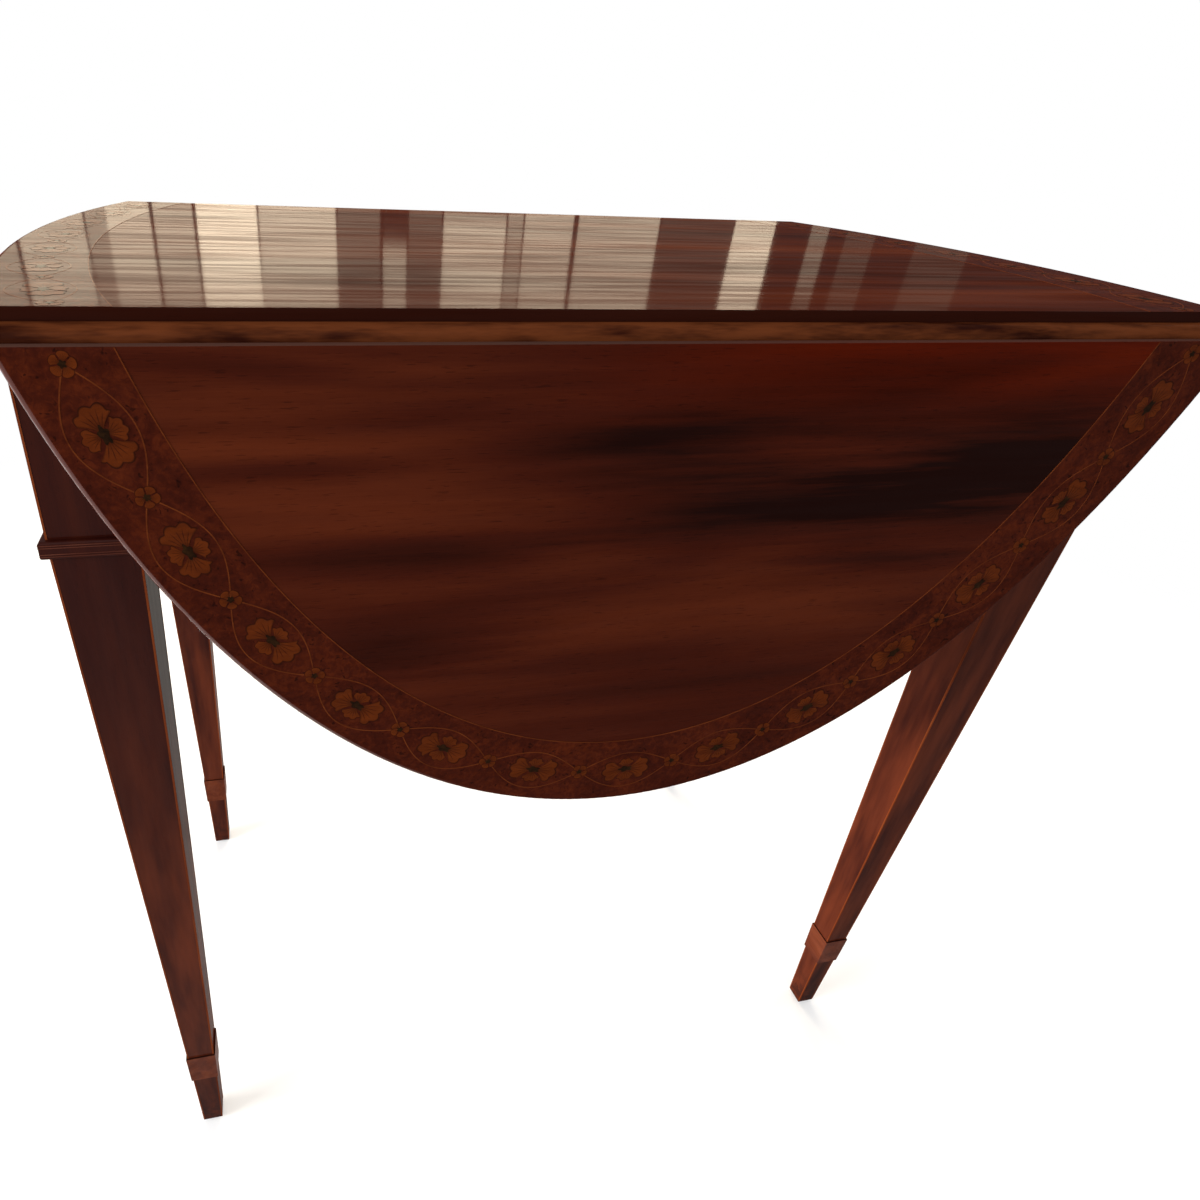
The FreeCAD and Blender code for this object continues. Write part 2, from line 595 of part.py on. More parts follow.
def knob():
    """Turned brass knob along +Z from its seat: rose, coved neck and domed head, with a shank behind."""
    flare = KNOB_HEAD_RADIUS - KNOB_NECK_RADIUS
    flare_rise = KNOB_BRIM_HEIGHT - KNOB_NECK_HEIGHT
    cove_radius = (flare ** 2 + flare_rise ** 2) / (2 * flare)
    cove_centre = V(KNOB_NECK_RADIUS + cove_radius, 0, KNOB_NECK_HEIGHT)
    cove = arc_about(cove_centre, cove_radius, math.pi, math.atan2(flare_rise, flare - cove_radius))
    dome_foot = KNOB_BRIM_HEIGHT + KNOB_BRIM_THICKNESS
    dome_rise = KNOB_LENGTH - dome_foot
    dome_radius = (KNOB_HEAD_RADIUS ** 2 + dome_rise ** 2) / (2 * dome_rise)
    dome_centre = V(0, 0, KNOB_LENGTH - dome_radius)
    dome = arc_about(dome_centre, dome_radius, math.acos(KNOB_HEAD_RADIUS / dome_radius), math.pi / 2)
    lower = [V(0, 0, -KNOB_SHANK_LENGTH), V(KNOB_SHANK_RADIUS, 0, -KNOB_SHANK_LENGTH),
             V(KNOB_SHANK_RADIUS, 0, 0), V(KNOB_ROSE_RADIUS, 0, 0),
             V(KNOB_ROSE_RADIUS, 0, KNOB_ROSE_THICKNESS / 2), V(KNOB_NECK_RADIUS, 0, KNOB_ROSE_THICKNESS),
             V(KNOB_NECK_RADIUS, 0, KNOB_NECK_HEIGHT)]
    brim = [V(KNOB_HEAD_RADIUS, 0, KNOB_BRIM_HEIGHT), V(KNOB_HEAD_RADIUS, 0, dome_foot)]
    lines = list(zip(lower, lower[1:])) + [tuple(brim), (V(0, 0, KNOB_LENGTH), lower[0])]
    edges = [Part.LineSegment(a, b).toShape() for a, b in lines] + [cove, dome]
    profile = Part.Face(Part.Wire(Part.__sortEdges__(edges)))
    return profile.revolve(V(0, 0, 0), V(0, 0, 1), 360)


def knobs():
    """Two knobs on the right end's bowed face."""
    result = []
    for y in (-KNOB_OFFSET, KNOB_OFFSET):
        spot, out = bow_point(y)
        result.append(placed(knob(), spot + out * KNOB_SEAT_GAP, out))
    return result


def knob_holes():
    """Holes for the knobs' shanks."""
    radius = KNOB_SHANK_RADIUS + SCREW_CLEARANCE
    hole = Part.makeCylinder(radius, 2 * KNOB_SHANK_LENGTH, V(0, 0, -KNOB_SHANK_LENGTH))
    holes = []
    for y in (-KNOB_OFFSET, KNOB_OFFSET):
        spot, out = bow_point(y)
        holes.append(placed(hole, spot, out))
    return holes


def make_ends():
    """Drawer rails at the right end, and the sham drawer apron at the left end."""
    for name, low in (("drawer_rail_lower", FRIEZE_BOTTOM), ("drawer_rail_upper", OPENING_TOP)):
        rail = bowed_block(RAIL_BACK_X, low, low + DRAWER_RAIL_HEIGHT)
        save(name, rail.fuse([stub_tenon(low), mirrored(stub_tenon(low), True, False)]).removeSplitter())
    apron = bowed_block(APRON_BACK_X, FRIEZE_BOTTOM, UNDERSIDE)
    apron = apron.fuse([apron_tenon(), mirrored(apron_tenon(), True, False)])
    apron = apron.cut([cock_bead()] + knob_holes()).removeSplitter()
    save("end_apron", mirrored(apron, False, True))
    save("end_apron_cockbead", mirrored(cock_bead(), False, True))
    save("end_apron_knobs", *[mirrored(piece, False, True) for piece in knobs()])


def make_runners():
    """Runners under the drawer, kickers over it, their screws, and the drawer stops."""
    runner = box(-APRON_BACK_X, RAIL_BACK_X, -LEG_INNER_Y, -RUNNER_INNER_Y, FRIEZE_BOTTOM, OPENING_BOTTOM)
    kicker = box(-APRON_BACK_X, RAIL_BACK_X, -LEG_INNER_Y, -RUNNER_INNER_Y, OPENING_TOP, UNDERSIDE)
    holes = top_screws(SCREW_CLEARANCE)
    for near in (True, False):
        side = "near" if near else "far"
        save("drawer_runner_" + side, mirrored(runner, True, near))
        save("kicker_" + side, mirrored(kicker, True, near).cut(holes))
    save("top_screws", *top_screws())
    stop_x = FRONT_BACK_X - DRAWER_RUNNING_GAP
    stops = []
    for y in (-STOP_OFFSET, STOP_OFFSET):
        stops.append(box(stop_x - STOP_LENGTH, stop_x, y - STOP_WIDTH / 2, y + STOP_WIDTH / 2,
                         OPENING_BOTTOM, OPENING_BOTTOM + STOP_HEIGHT))
    save("drawer_stops", *stops)


def tails(root_x, end_x, low, high):
    """Dovetails on the near drawer side, widening from their root to their end."""
    pitch = (high - low) / DOVETAILS
    half_end = (pitch - DOVETAIL_PIN) / 2
    half_root = half_end - DOVETAIL_SLOPE * abs(end_x - root_x)
    result = []
    for k in range(DOVETAILS):
        middle = low + pitch * (k + 0.5)
        corners = ((root_x, -half_root), (end_x, -half_end), (end_x, half_end), (root_x, half_root))
        points = [V(x, -FRONT_HALF_WIDTH, middle + rise) for x, rise in corners]
        outline = Part.makePolygon(points + points[:1])
        result.append(Part.Face(outline).extrude(V(0, DRAWER_LINING, 0)))
    return result


def both_sides(tools):
    """Near tools with their mirror images on the far side."""
    return tools + [mirrored(tool, True, False) for tool in tools]


def make_drawer():
    """Drawer: bowed front with a cock bead and knobs, dovetailed sides and back, and a grooved-in bottom."""
    groove_y = LINING_INNER_Y + DRAWER_GROOVE
    groove_x = FRONT_BACK_X + DRAWER_GROOVE
    groove = box(DRAWER_BACK_X - CUT_MARGIN, groove_x, -groove_y, groove_y,
                 BOTTOM_LOW - GROOVE_GAP, BOTTOM_HIGH + GROOVE_GAP)
    back_bottom = BOTTOM_HIGH + GROOVE_GAP
    back_inner_x = DRAWER_BACK_X + DRAWER_LINING
    front_tails = tails(FRONT_BACK_X, FRONT_BACK_X + DOVETAIL_LAP, LINING_BOTTOM, LINING_TOP)
    back_tails = tails(back_inner_x, DRAWER_BACK_X, back_bottom, LINING_TOP)

    front = bowed_block(FRONT_BACK_X, FRONT_BOTTOM, FRONT_TOP).common(front_window(0))
    save("drawer_front", front.cut([cock_bead(), groove] + knob_holes() + both_sides(front_tails)))
    save("drawer_cockbead", cock_bead())
    save("drawer_knobs", *knobs())
    side = box(back_inner_x, FRONT_BACK_X, -FRONT_HALF_WIDTH, -LINING_INNER_Y, LINING_BOTTOM, LINING_TOP)
    heel = box(DRAWER_BACK_X, back_inner_x, -FRONT_HALF_WIDTH, -LINING_INNER_Y, LINING_BOTTOM, back_bottom)
    side = side.fuse([heel] + front_tails + back_tails).cut(groove).removeSplitter()
    save("drawer_side_near", side)
    save("drawer_side_far", mirrored(side, True, False))
    back = box(DRAWER_BACK_X, back_inner_x, -FRONT_HALF_WIDTH, FRONT_HALF_WIDTH, back_bottom, LINING_TOP)
    save("drawer_back", back.cut(both_sides(back_tails)))
    edge_y = groove_y - GROOVE_GAP
    save("drawer_bottom", box(DRAWER_BACK_X, groove_x - GROOVE_GAP, -edge_y, edge_y, BOTTOM_LOW, BOTTOM_HIGH))


os.makedirs("parts", exist_ok=True)
make_boards()
make_legs()
make_sides()
make_ends()
make_runners()
make_drawer()
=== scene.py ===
"""Looks of an oval Pembroke table: polished mahogany boards with an inlaid border, strung legs and a studio.

Every piece is in metres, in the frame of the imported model. The leaves hang at rest, so the border is worked
out on the level oval and carried to each hanging leaf by a quarter turn about its hinge line.
"""
from __future__ import annotations

import json
import logging
import math
from dataclasses import dataclass, replace
from enum import Enum
from typing import Any, Callable

import bpy
import numpy as np
from mathutils import Matrix, Vector

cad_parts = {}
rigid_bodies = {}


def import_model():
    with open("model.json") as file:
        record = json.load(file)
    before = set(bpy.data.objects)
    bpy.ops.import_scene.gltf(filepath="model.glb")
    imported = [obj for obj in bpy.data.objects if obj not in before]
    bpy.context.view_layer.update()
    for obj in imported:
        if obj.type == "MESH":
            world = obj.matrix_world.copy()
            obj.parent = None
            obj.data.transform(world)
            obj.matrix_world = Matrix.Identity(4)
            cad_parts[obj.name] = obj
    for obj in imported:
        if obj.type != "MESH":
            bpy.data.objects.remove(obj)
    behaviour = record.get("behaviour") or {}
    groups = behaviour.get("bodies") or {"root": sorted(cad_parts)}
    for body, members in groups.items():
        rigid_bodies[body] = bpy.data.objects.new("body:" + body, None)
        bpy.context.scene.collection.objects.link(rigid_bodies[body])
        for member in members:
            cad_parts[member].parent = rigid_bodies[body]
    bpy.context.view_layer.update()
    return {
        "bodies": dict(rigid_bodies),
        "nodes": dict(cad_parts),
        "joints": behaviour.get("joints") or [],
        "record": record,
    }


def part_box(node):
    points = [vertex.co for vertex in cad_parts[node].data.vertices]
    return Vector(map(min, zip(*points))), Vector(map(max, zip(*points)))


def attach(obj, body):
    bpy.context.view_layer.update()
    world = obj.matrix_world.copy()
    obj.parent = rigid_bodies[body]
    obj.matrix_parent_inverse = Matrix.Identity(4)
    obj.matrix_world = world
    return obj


Colour = tuple[int, int, int]
Point = tuple[float, float, float]
Mesh = tuple[np.ndarray, np.ndarray]
Socket = bpy.types.NodeSocket

LOG = logging.getLogger("pembroke_table")
MM = 0.001
SKIN = 0.6 * MM
COAT_ROUGHNESS = 0.08

# How finely noise is drawn along X, Y and Z, in clouds to a metre
FIBRE_DRAW: Point = (45.0, 1300.0, 1300.0)
PORE_DRAW: Point = (110.0, 1500.0, 1500.0)
RUB_DRAW: Point = (12.0, 420.0, 420.0)
RIPPLE_DRAW: Point = (9.0, 160.0, 160.0)
SCRATCH_DRAW: Point = (300.0, 4000.0, 900.0)


class Ground(Enum):
    """Board that a piece of the border is laid on, named for the body that carries it."""

    TOP = "frame"
    NEAR_LEAF = "leaf_near"
    FAR_LEAF = "leaf_far"


class GrainAxis(Enum):
    """Direction of the grain, as the turn that brings it to the pattern's own X axis."""

    ALONG_X = (0.0, 0.0, 0.0)
    ALONG_Y = (0.0, 0.0, -math.pi / 2)
    UPRIGHT = (0.0, math.pi / 2, 0.0)


class BareFace(Enum):
    """Face of a board that is left without polish, as the axis along which it lies nearest to the origin."""

    INNER = 1
    UNDERSIDE = 2


def linear(colour: Colour) -> tuple[float, float, float, float]:
    """Turns an 8-bit screen colour into a linear shader colour.

    Args:
        colour: red, green and blue from 0 to 255.

    Returns:
        Linear red, green, blue and a full alpha.
    """
    share = np.asarray(colour, float) / 255.0
    value = np.where(share <= 0.04045, share / 12.92, ((share + 0.055) / 1.055) ** 2.4)
    return (*value.tolist(), 1.0)


# Shader helpers

class NodeCanvas:
    """Adds and wires the nodes of one shader tree."""

    def __init__(self, tree: bpy.types.NodeTree) -> None:
        """Keeps the tree that nodes are added to."""
        self.tree = tree

    def add(self, kind: str, **settings: Any) -> bpy.types.Node:
        """Adds a node and sets its properties."""
        node = self.tree.nodes.new(kind)
        for key, value in settings.items():
            setattr(node, key, value)
        return node

    def feed(self, socket: Socket, value: Any) -> None:
        """Links a socket to another one, or gives it a plain value."""
        if isinstance(value, bpy.types.NodeSocket):
            self.tree.links.new(value, socket)
        else:
            socket.default_value = value

    def math(self, operation: str, first: Any, second: Any = 0.0, clamp: bool = False) -> Socket:
        """Adds one arithmetic step.

        Args:
            operation: Blender's name of the step.
            first: socket or number.
            second: socket or number.
            clamp: whether the result stays between 0 and 1.

        Returns:
            The result.
        """
        node = self.add("ShaderNodeMath", operation=operation, use_clamp=clamp)
        self.feed(node.inputs[0], first)
        self.feed(node.inputs[1], second)
        return node.outputs[0]

    def times(self, first: Any, second: Any) -> Socket:
        """Product of two values."""
        return self.math("MULTIPLY", first, second)

    def rest(self, share: Any) -> Socket:
        """What a share leaves of 1."""
        return self.math("SUBTRACT", 1.0, share)

    def swing(self, tone: Any, gain: Any) -> Socket:
        """Turns a tone about a half into a swing about 0."""
        return self.times(self.math("SUBTRACT", tone, 0.5), gain)

    def mix(self, share: Any, first: Any, second: Any, blend: str = "MIX") -> Socket:
        """Blends two colours by a share of the second one."""
        node = self.add("ShaderNodeMix", data_type="RGBA", blend_type=blend)
        self.feed(node.inputs["Factor"], share)
        self.feed(node.inputs[6], first)
        self.feed(node.inputs[7], second)
        return node.outputs[2]

    def mix_shaders(self, share: Any, first: Socket, second: Socket) -> Socket:
        """Blends two shaders by a share of the second one."""
        node = self.add("ShaderNodeMixShader")
        for socket, value in zip(node.inputs, (share, first, second)):
            self.feed(socket, value)
        return node.outputs[0]

    def noise(self, place: Any, scale: Any, detail: float = 2.0, rough: float = 0.5,
              bend: Any = 0.0) -> Socket:
        """Cloudy noise of a place.

        Args:
            place: vector socket.
            scale: clouds to a unit of the place.
            detail: octaves.
            rough: weight of each finer octave.
            bend: how far the clouds are bent.

        Returns:
            Noise about a half.
        """
        node = self.add("ShaderNodeTexNoise")
        for name, value in (("Vector", place), ("Scale", scale), ("Detail", detail), ("Roughness", rough),
                            ("Distortion", bend)):
            self.feed(node.inputs[name], value)
        return node.outputs[0]

    def drawn_noise(self, place: Any, draw: Point, detail: float, rough: float) -> Socket:
        """Cloudy noise of a place, drawn out by its own amount along each axis."""
        return self.noise(self.stretched(place, draw), 1.0, detail, rough)

    def cells(self, place: Any, scale: float, feature: str = "F1") -> Socket:
        """Distance to the nearest seed of a scatter of points."""
        node = self.add("ShaderNodeTexVoronoi", feature=feature)
        self.feed(node.inputs["Vector"], place)
        self.feed(node.inputs["Scale"], scale)
        return node.outputs["Distance"]

    def smooth(self, value: Any, low: float, high: float) -> Socket:
        """Rises smoothly from 0 at one value to 1 at another."""
        node = self.add("ShaderNodeMapRange", interpolation_type="SMOOTHSTEP")
        for name, given in (("Value", value), ("From Min", low), ("From Max", high)):
            self.feed(node.inputs[name], given)
        return node.outputs[0]

    def ramp(self, share: Any, stops: list[tuple[float, Colour]]) -> Socket:
        """Runs through screen colours by a share.

        Args:
            share: socket from 0 to 1.
            stops: places along the share, each with its colour.

        Returns:
            Linear colour.
        """
        node = self.add("ShaderNodeValToRGB")
        elements = node.color_ramp.elements
        while len(elements) < len(stops):
            elements.new(0.5)
        for element, (place, colour) in zip(elements, stops):
            element.position = place
            element.color = linear(colour)
        self.feed(node.inputs[0], share)
        return node.outputs[0]

    def stretched(self, place: Any, factors: Point) -> Socket:
        """Multiplies a place along each axis."""
        node = self.add("ShaderNodeVectorMath", operation="MULTIPLY")
        self.feed(node.inputs[0], place)
        self.feed(node.inputs[1], factors)
        return node.outputs[0]

    def split(self, place: Any) -> tuple[Socket, Socket, Socket]:
        """Takes a vector apart."""
        node = self.add("ShaderNodeSeparateXYZ")
        self.feed(node.inputs[0], place)
        return node.outputs[0], node.outputs[1], node.outputs[2]

    def joined(self, x: Any, y: Any, z: Any) -> Socket:
        """Puts a vector together."""
        node = self.add("ShaderNodeCombineXYZ")
        for socket, value in zip(node.inputs, (x, y, z)):
            self.feed(socket, value)
        return node.outputs[0]

    def place(self, axis: GrainAxis = GrainAxis.ALONG_X) -> Socket:
        """Object coordinates, turned so that the grain runs along X."""
        source = self.add("ShaderNodeTexCoord")
        turn = self.add("ShaderNodeMapping")
        turn.inputs["Rotation"].default_value = axis.value
        self.feed(turn.inputs["Vector"], source.outputs["Object"])
        return turn.outputs[0]

    def skin(self, face: BareFace, distance: float) -> Socket:
        """1 on the face that lies at a distance from the origin, fading to 0 within a hair of it."""
        far = self.math("ABSOLUTE", self.split(self.place())[face.value])
        return self.rest(self.smooth(far, distance + SKIN / 2, distance + SKIN))

    def group(self, tree: bpy.types.NodeTree, **values: Any) -> dict[str, Socket]:
        """Places a node group.

        Args:
            tree: the shared effect.
            values: its inputs by name, with underscores for spaces.

        Returns:
            Its outputs by name.
        """
        node = self.add("ShaderNodeGroup", node_tree=tree)
        for key, value in values.items():
            self.feed(node.inputs[key.replace("_", " ")], value)
        return {socket.name: socket for socket in node.outputs}

    def bump(self, height: Any, strength: float, distance: float) -> Socket:
        """Turns a height into a normal."""
        node = self.add("ShaderNodeBump")
        node.inputs["Strength"].default_value = strength
        node.inputs["Distance"].default_value = distance
        self.feed(node.inputs["Height"], height)
        return node.outputs[0]


def shared_effect(name: str, inputs: dict[str, Any], outputs: list[str],
                  fill: Callable[[NodeCanvas, dict[str, Socket]], dict[str, Socket]]) -> bpy.types.NodeTree:
    """Builds a shader node group once.

    Args:
        name: the effect's name.
        inputs: input names with their first values; a tuple makes a vector socket.
        outputs: names of the float outputs.
        fill: adds the nodes and returns the sockets for the outputs.

    Returns:
        The group's tree.
    """
    if name in bpy.data.node_groups:
        return bpy.data.node_groups[name]
    tree = bpy.data.node_groups.new(name, "ShaderNodeTree")
    for key, value in inputs.items():
        kind = "NodeSocketVector" if isinstance(value, tuple) else "NodeSocketFloat"
        socket = tree.interface.new_socket(name=key, in_out="INPUT", socket_type=kind)
        socket.default_value = value
    for key in outputs:
        tree.interface.new_socket(name=key, in_out="OUTPUT", socket_type="NodeSocketFloat")
    canvas = NodeCanvas(tree)
    source = canvas.add("NodeGroupInput")
    sink = canvas.add("NodeGroupOutput")
    results = fill(canvas, {socket.name: socket for socket in source.outputs if socket.name})
    for key in outputs:
        canvas.feed(sink.inputs[key], results[key])
    return tree


def wood_grain() -> bpy.types.NodeTree:
    """Grain of sawn wood along X: smoky streaks, ribbon stripe, fibre and short open pores."""

    def fill(canvas: NodeCanvas, given: dict[str, Socket]) -> dict[str, Socket]:
        """Sums noise at four widths, each drawn out along the grain."""
        x, y, z = canvas.split(given["Vector"])
        across = given["Streaks"]
        along = canvas.times(across, given["Run"])

        def drawn(run_times: float, width_times: float) -> Socket:
            """Place with the grain's draw at a finer or coarser width."""
            run = canvas.times(along, run_times)
            width = canvas.times(across, width_times)
            return canvas.joined(canvas.times(x, run), canvas.times(y, width), canvas.times(z, width))

        smoke = canvas.noise(drawn(1.0, 1.0), 1.0, 3.0, 0.55, given["Waver"])
        ribbon = canvas.noise(drawn(2.2, 5.0), 1.0, 4.0, 0.6, 0.4)
        fibre = canvas.drawn_noise(given["Vector"], FIBRE_DRAW, 2.0, 0.6)
        pores = canvas.smooth(canvas.drawn_noise(given["Vector"], PORE_DRAW, 1.0, 0.5), 0.64, 0.72)
        tone = canvas.math("ADD", canvas.swing(smoke, 2.1), 0.5)
        tone = canvas.math("ADD", tone, canvas.swing(ribbon, given["Ribbon"]))
        tone = canvas.math("ADD", tone, canvas.swing(fibre, given["Fibre"]), clamp=True)
        height = canvas.math("SUBTRACT", canvas.times(fibre, 0.3), pores)
        return {"Tone": tone, "Pores": canvas.times(pores, given["Open Pores"]), "Height": height}

    inputs = {"Vector": (0.0, 0.0, 0.0), "Streaks": 20.0, "Run": 0.15, "Waver": 0.6, "Ribbon": 0.7,
              "Fibre": 0.5, "Open Pores": 0.6}
    return shared_effect("wood_grain", inputs, ["Tone", "Pores", "Height"], fill)


def hand_polish() -> bpy.types.NodeTree:
    """Hand-rubbed polish: slow changes of gloss, faint rubbing marks and a ripple along the grain."""

    def fill(canvas: NodeCanvas, given: dict[str, Socket]) -> dict[str, Socket]:
        """Adds cloudy haze and thin rubbed lines to the base roughness."""
        cloud = canvas.noise(given["Vector"], 7.0, 3.0, 0.6)
        rub = canvas.drawn_noise(given["Vector"], RUB_DRAW, 2.0, 0.6)
        haze = canvas.times(canvas.smooth(cloud, 0.35, 0.75), given["Haze"])
        lines = canvas.times(canvas.smooth(rub, 0.45, 0.8), given["Rub"])
        rough = canvas.math("ADD", canvas.math("ADD", given["Gloss"], haze), lines, clamp=True)
        ripple = canvas.drawn_noise(given["Vector"], RIPPLE_DRAW, 2.0, 0.5)
        thin = canvas.times(canvas.smooth(ripple, 0.35, 0.65), given["Thin"])
        return {"Roughness": rough, "Ripple": ripple, "Coat": canvas.rest(thin)}

    inputs = {"Vector": (0.0, 0.0, 0.0), "Gloss": 0.1, "Haze": 0.1, "Rub": 0.05, "Thin": 0.3}
    return shared_effect("hand_polish", inputs, ["Roughness", "Ripple", "Coat"], fill)


def burr_figure() -> bpy.types.NodeTree:
    """Burr veneer: swirling tone, rings round small buds and scattered dark specks."""

    def fill(canvas: NodeCanvas, given: dict[str, Socket]) -> dict[str, Socket]:
        """Bends the place by noise, then takes cells for buds and a sparse scatter for specks."""
        swirl = canvas.noise(given["Vector"], canvas.times(given["Scale"], 0.5), 4.0, 0.65, 1.8)
        fine = canvas.noise(given["Vector"], canvas.times(given["Scale"], 5.0), 3.0, 0.65, 0.8)
        rings = canvas.smooth(canvas.cells(given["Vector"], 210.0), 0.1, 0.45)
        specks = canvas.smooth(canvas.noise(given["Vector"], 260.0, 2.0, 0.6, 0.5), 0.63, 0.72)
        tone = canvas.math("ADD", canvas.swing(swirl, 1.4), 0.42)
        tone = canvas.math("ADD", tone, canvas.swing(fine, 1.1))
        tone = canvas.math("ADD", tone, canvas.times(rings, 0.12), clamp=True)
        return {"Tone": tone, "Specks": specks, "Height": fine}

    inputs = {"Vector": (0.0, 0.0, 0.0), "Scale": 60.0}
    return shared_effect("burr_figure", inputs, ["Tone", "Specks", "Height"], fill)


def metal_patina() -> bpy.types.NodeTree:
    """Old metal: blotchy tarnish, fine scratches and a slightly pitted skin."""

    def fill(canvas: NodeCanvas, given: dict[str, Socket]) -> dict[str, Socket]:
        """Takes blotches, scratches and pits at three widths."""
        blotch = canvas.noise(given["Vector"], given["Scale"], 4.0, 0.65, 0.6)
        scratch = canvas.drawn_noise(given["Vector"], SCRATCH_DRAW, 2.0, 0.5)
        pits = canvas.noise(given["Vector"], canvas.times(given["Scale"], 12.0), 2.0, 0.6)
        tarnish = canvas.smooth(blotch, 0.4, 0.7)
        rough = canvas.math("ADD", given["Gloss"], canvas.times(tarnish, 0.22))
        rough = canvas.math("ADD", rough, canvas.times(scratch, 0.1), clamp=True)
        return {"Tarnish": tarnish, "Roughness": rough, "Height": pits}

    inputs = {"Vector": (0.0, 0.0, 0.0), "Scale": 90.0, "Gloss": 0.25}
    return shared_effect("metal_patina", inputs, ["Tarnish", "Roughness", "Height"], fill)


def fresh_material(name: str) -> tuple[bpy.types.Material, NodeCanvas, bpy.types.Node]:
    """Makes a material with an empty Principled shader.

    Args:
        name: the finish's name.

    Returns:
        The material, a canvas on its tree and the shader node.
    """
    material = bpy.data.materials.new(name)
    material.use_nodes = True
    canvas = NodeCanvas(material.node_tree)
    shader = next(node for node in material.node_tree.nodes if node.type == "BSDF_PRINCIPLED")
    return material, canvas, shader


# Finishes

@dataclass
class Surface:
    """What a finish feeds to its shader: colour, roughness and the weight of the clear coat."""

    colour: Socket
    roughness: Socket
    coat: Socket | float

    def wire(self, canvas: NodeCanvas, shader: bpy.types.Node, normal: Socket, shine: float = 0.0) -> None:
        """Feeds a Principled shader.

        Args:
            canvas: the material's canvas.
            shader: the shader node.
            normal: bumped normal.
            shine: specular level of the wood under the coat.
        """
        shader.inputs["Specular IOR Level"].default_value = shine
        shader.inputs["Coat Roughness"].default_value = COAT_ROUGHNESS
        for name, value in (("Coat Weight", self.coat), ("Base Color", self.colour),
                            ("Roughness", self.roughness), ("Normal", normal)):
            canvas.feed(shader.inputs[name], value)


@dataclass(frozen=True)
class WoodFinish:
    """One wood under one polish. Colours are screen colours from the darkest streak to the lightest."""

    name: str
    dark: Colour
    middle: Colour
    light: Colour
    pore: Colour
    streaks: float = 20.0
    run: float = 0.15
    waver: float = 0.6
    ribbon: float = 0.7
    fibre: float = 0.5
    open_pores: float = 0.6
    gloss: float = 0.1
    haze: float = 0.08
    coat: float = 0.16
    thin: float = 0.3
    shine: float = 0.0
    dry: Colour = (96, 66, 48)
    dry_share: float = 0.35
    dry_dulling: float = 0.4
    middle_at: float = 0.45
    grain_height: float = 0.25
    bump_strength: float = 0.12
    bump_depth: float = 0.6 * MM

    def figure(self, canvas: NodeCanvas, tone: Socket) -> Socket:
        """Hook for figure that one board has by itself; plain wood keeps its tone."""
        return tone

    def wear(self, canvas: NodeCanvas, surface: Surface) -> None:
        """Hook for zones that are worn or stained; plain wood has none."""

    def dress(self, axis: GrainAxis, bare: tuple[BareFace, float] | None = None) -> bpy.types.Material:
        """Builds the material.

        Args:
            axis: way that the grain runs.
            bare: face without polish and its distance from the origin, if the board has one.

        Returns:
            The finished material.
        """
        name = f"{self.name}_{axis.name.lower()}"
        if name in bpy.data.materials:
            return bpy.data.materials[name]
        material, canvas, shader = fresh_material(name)
        place = canvas.place(axis)
        grain = canvas.group(wood_grain(), Vector=place, Streaks=self.streaks, Run=self.run, Waver=self.waver,
                             Ribbon=self.ribbon, Fibre=self.fibre, Open_Pores=self.open_pores)
        polish = canvas.group(hand_polish(), Vector=place, Gloss=self.gloss, Haze=self.haze,
                              Rub=self.haze / 2, Thin=self.thin)
        tone = self.figure(canvas, grain["Tone"])
        colour = canvas.ramp(tone, [(0.0, self.dark), (self.middle_at, self.middle), (1.0, self.light)])
        colour = canvas.mix(grain["Pores"], colour, linear(self.pore))
        coat = canvas.times(polish["Coat"], self.coat) if self.coat > 0.0 else 0.0
        surface = Surface(colour, polish["Roughness"], coat)
        self.wear(canvas, surface)
        if bare is not None:
            dry = canvas.skin(*bare)
            surface.coat = canvas.times(surface.coat, canvas.rest(dry))
            dull = canvas.times(dry, self.dry_dulling)
            surface.roughness = canvas.math("ADD", surface.roughness, dull, clamp=True)
            surface.colour = canvas.mix(canvas.times(dry, self.dry_share), surface.colour, linear(self.dry))
        height = canvas.math("ADD", canvas.times(grain["Height"], self.grain_height), polish["Ripple"])
        surface.wire(canvas, shader, canvas.bump(height, self.bump_strength, self.bump_depth), self.shine)
        return material


@dataclass(frozen=True)
class SmokeStreak:
    """One smoky streak of a hanging leaf's figure, drawn out along the grain.

    Its place and half sizes are in metres and its tilt in radians. Depth below 0 makes a lighter streak.
    """

    x: float
    z: float
    half_length: float
    half_height: float
    tilt: float
    depth: float


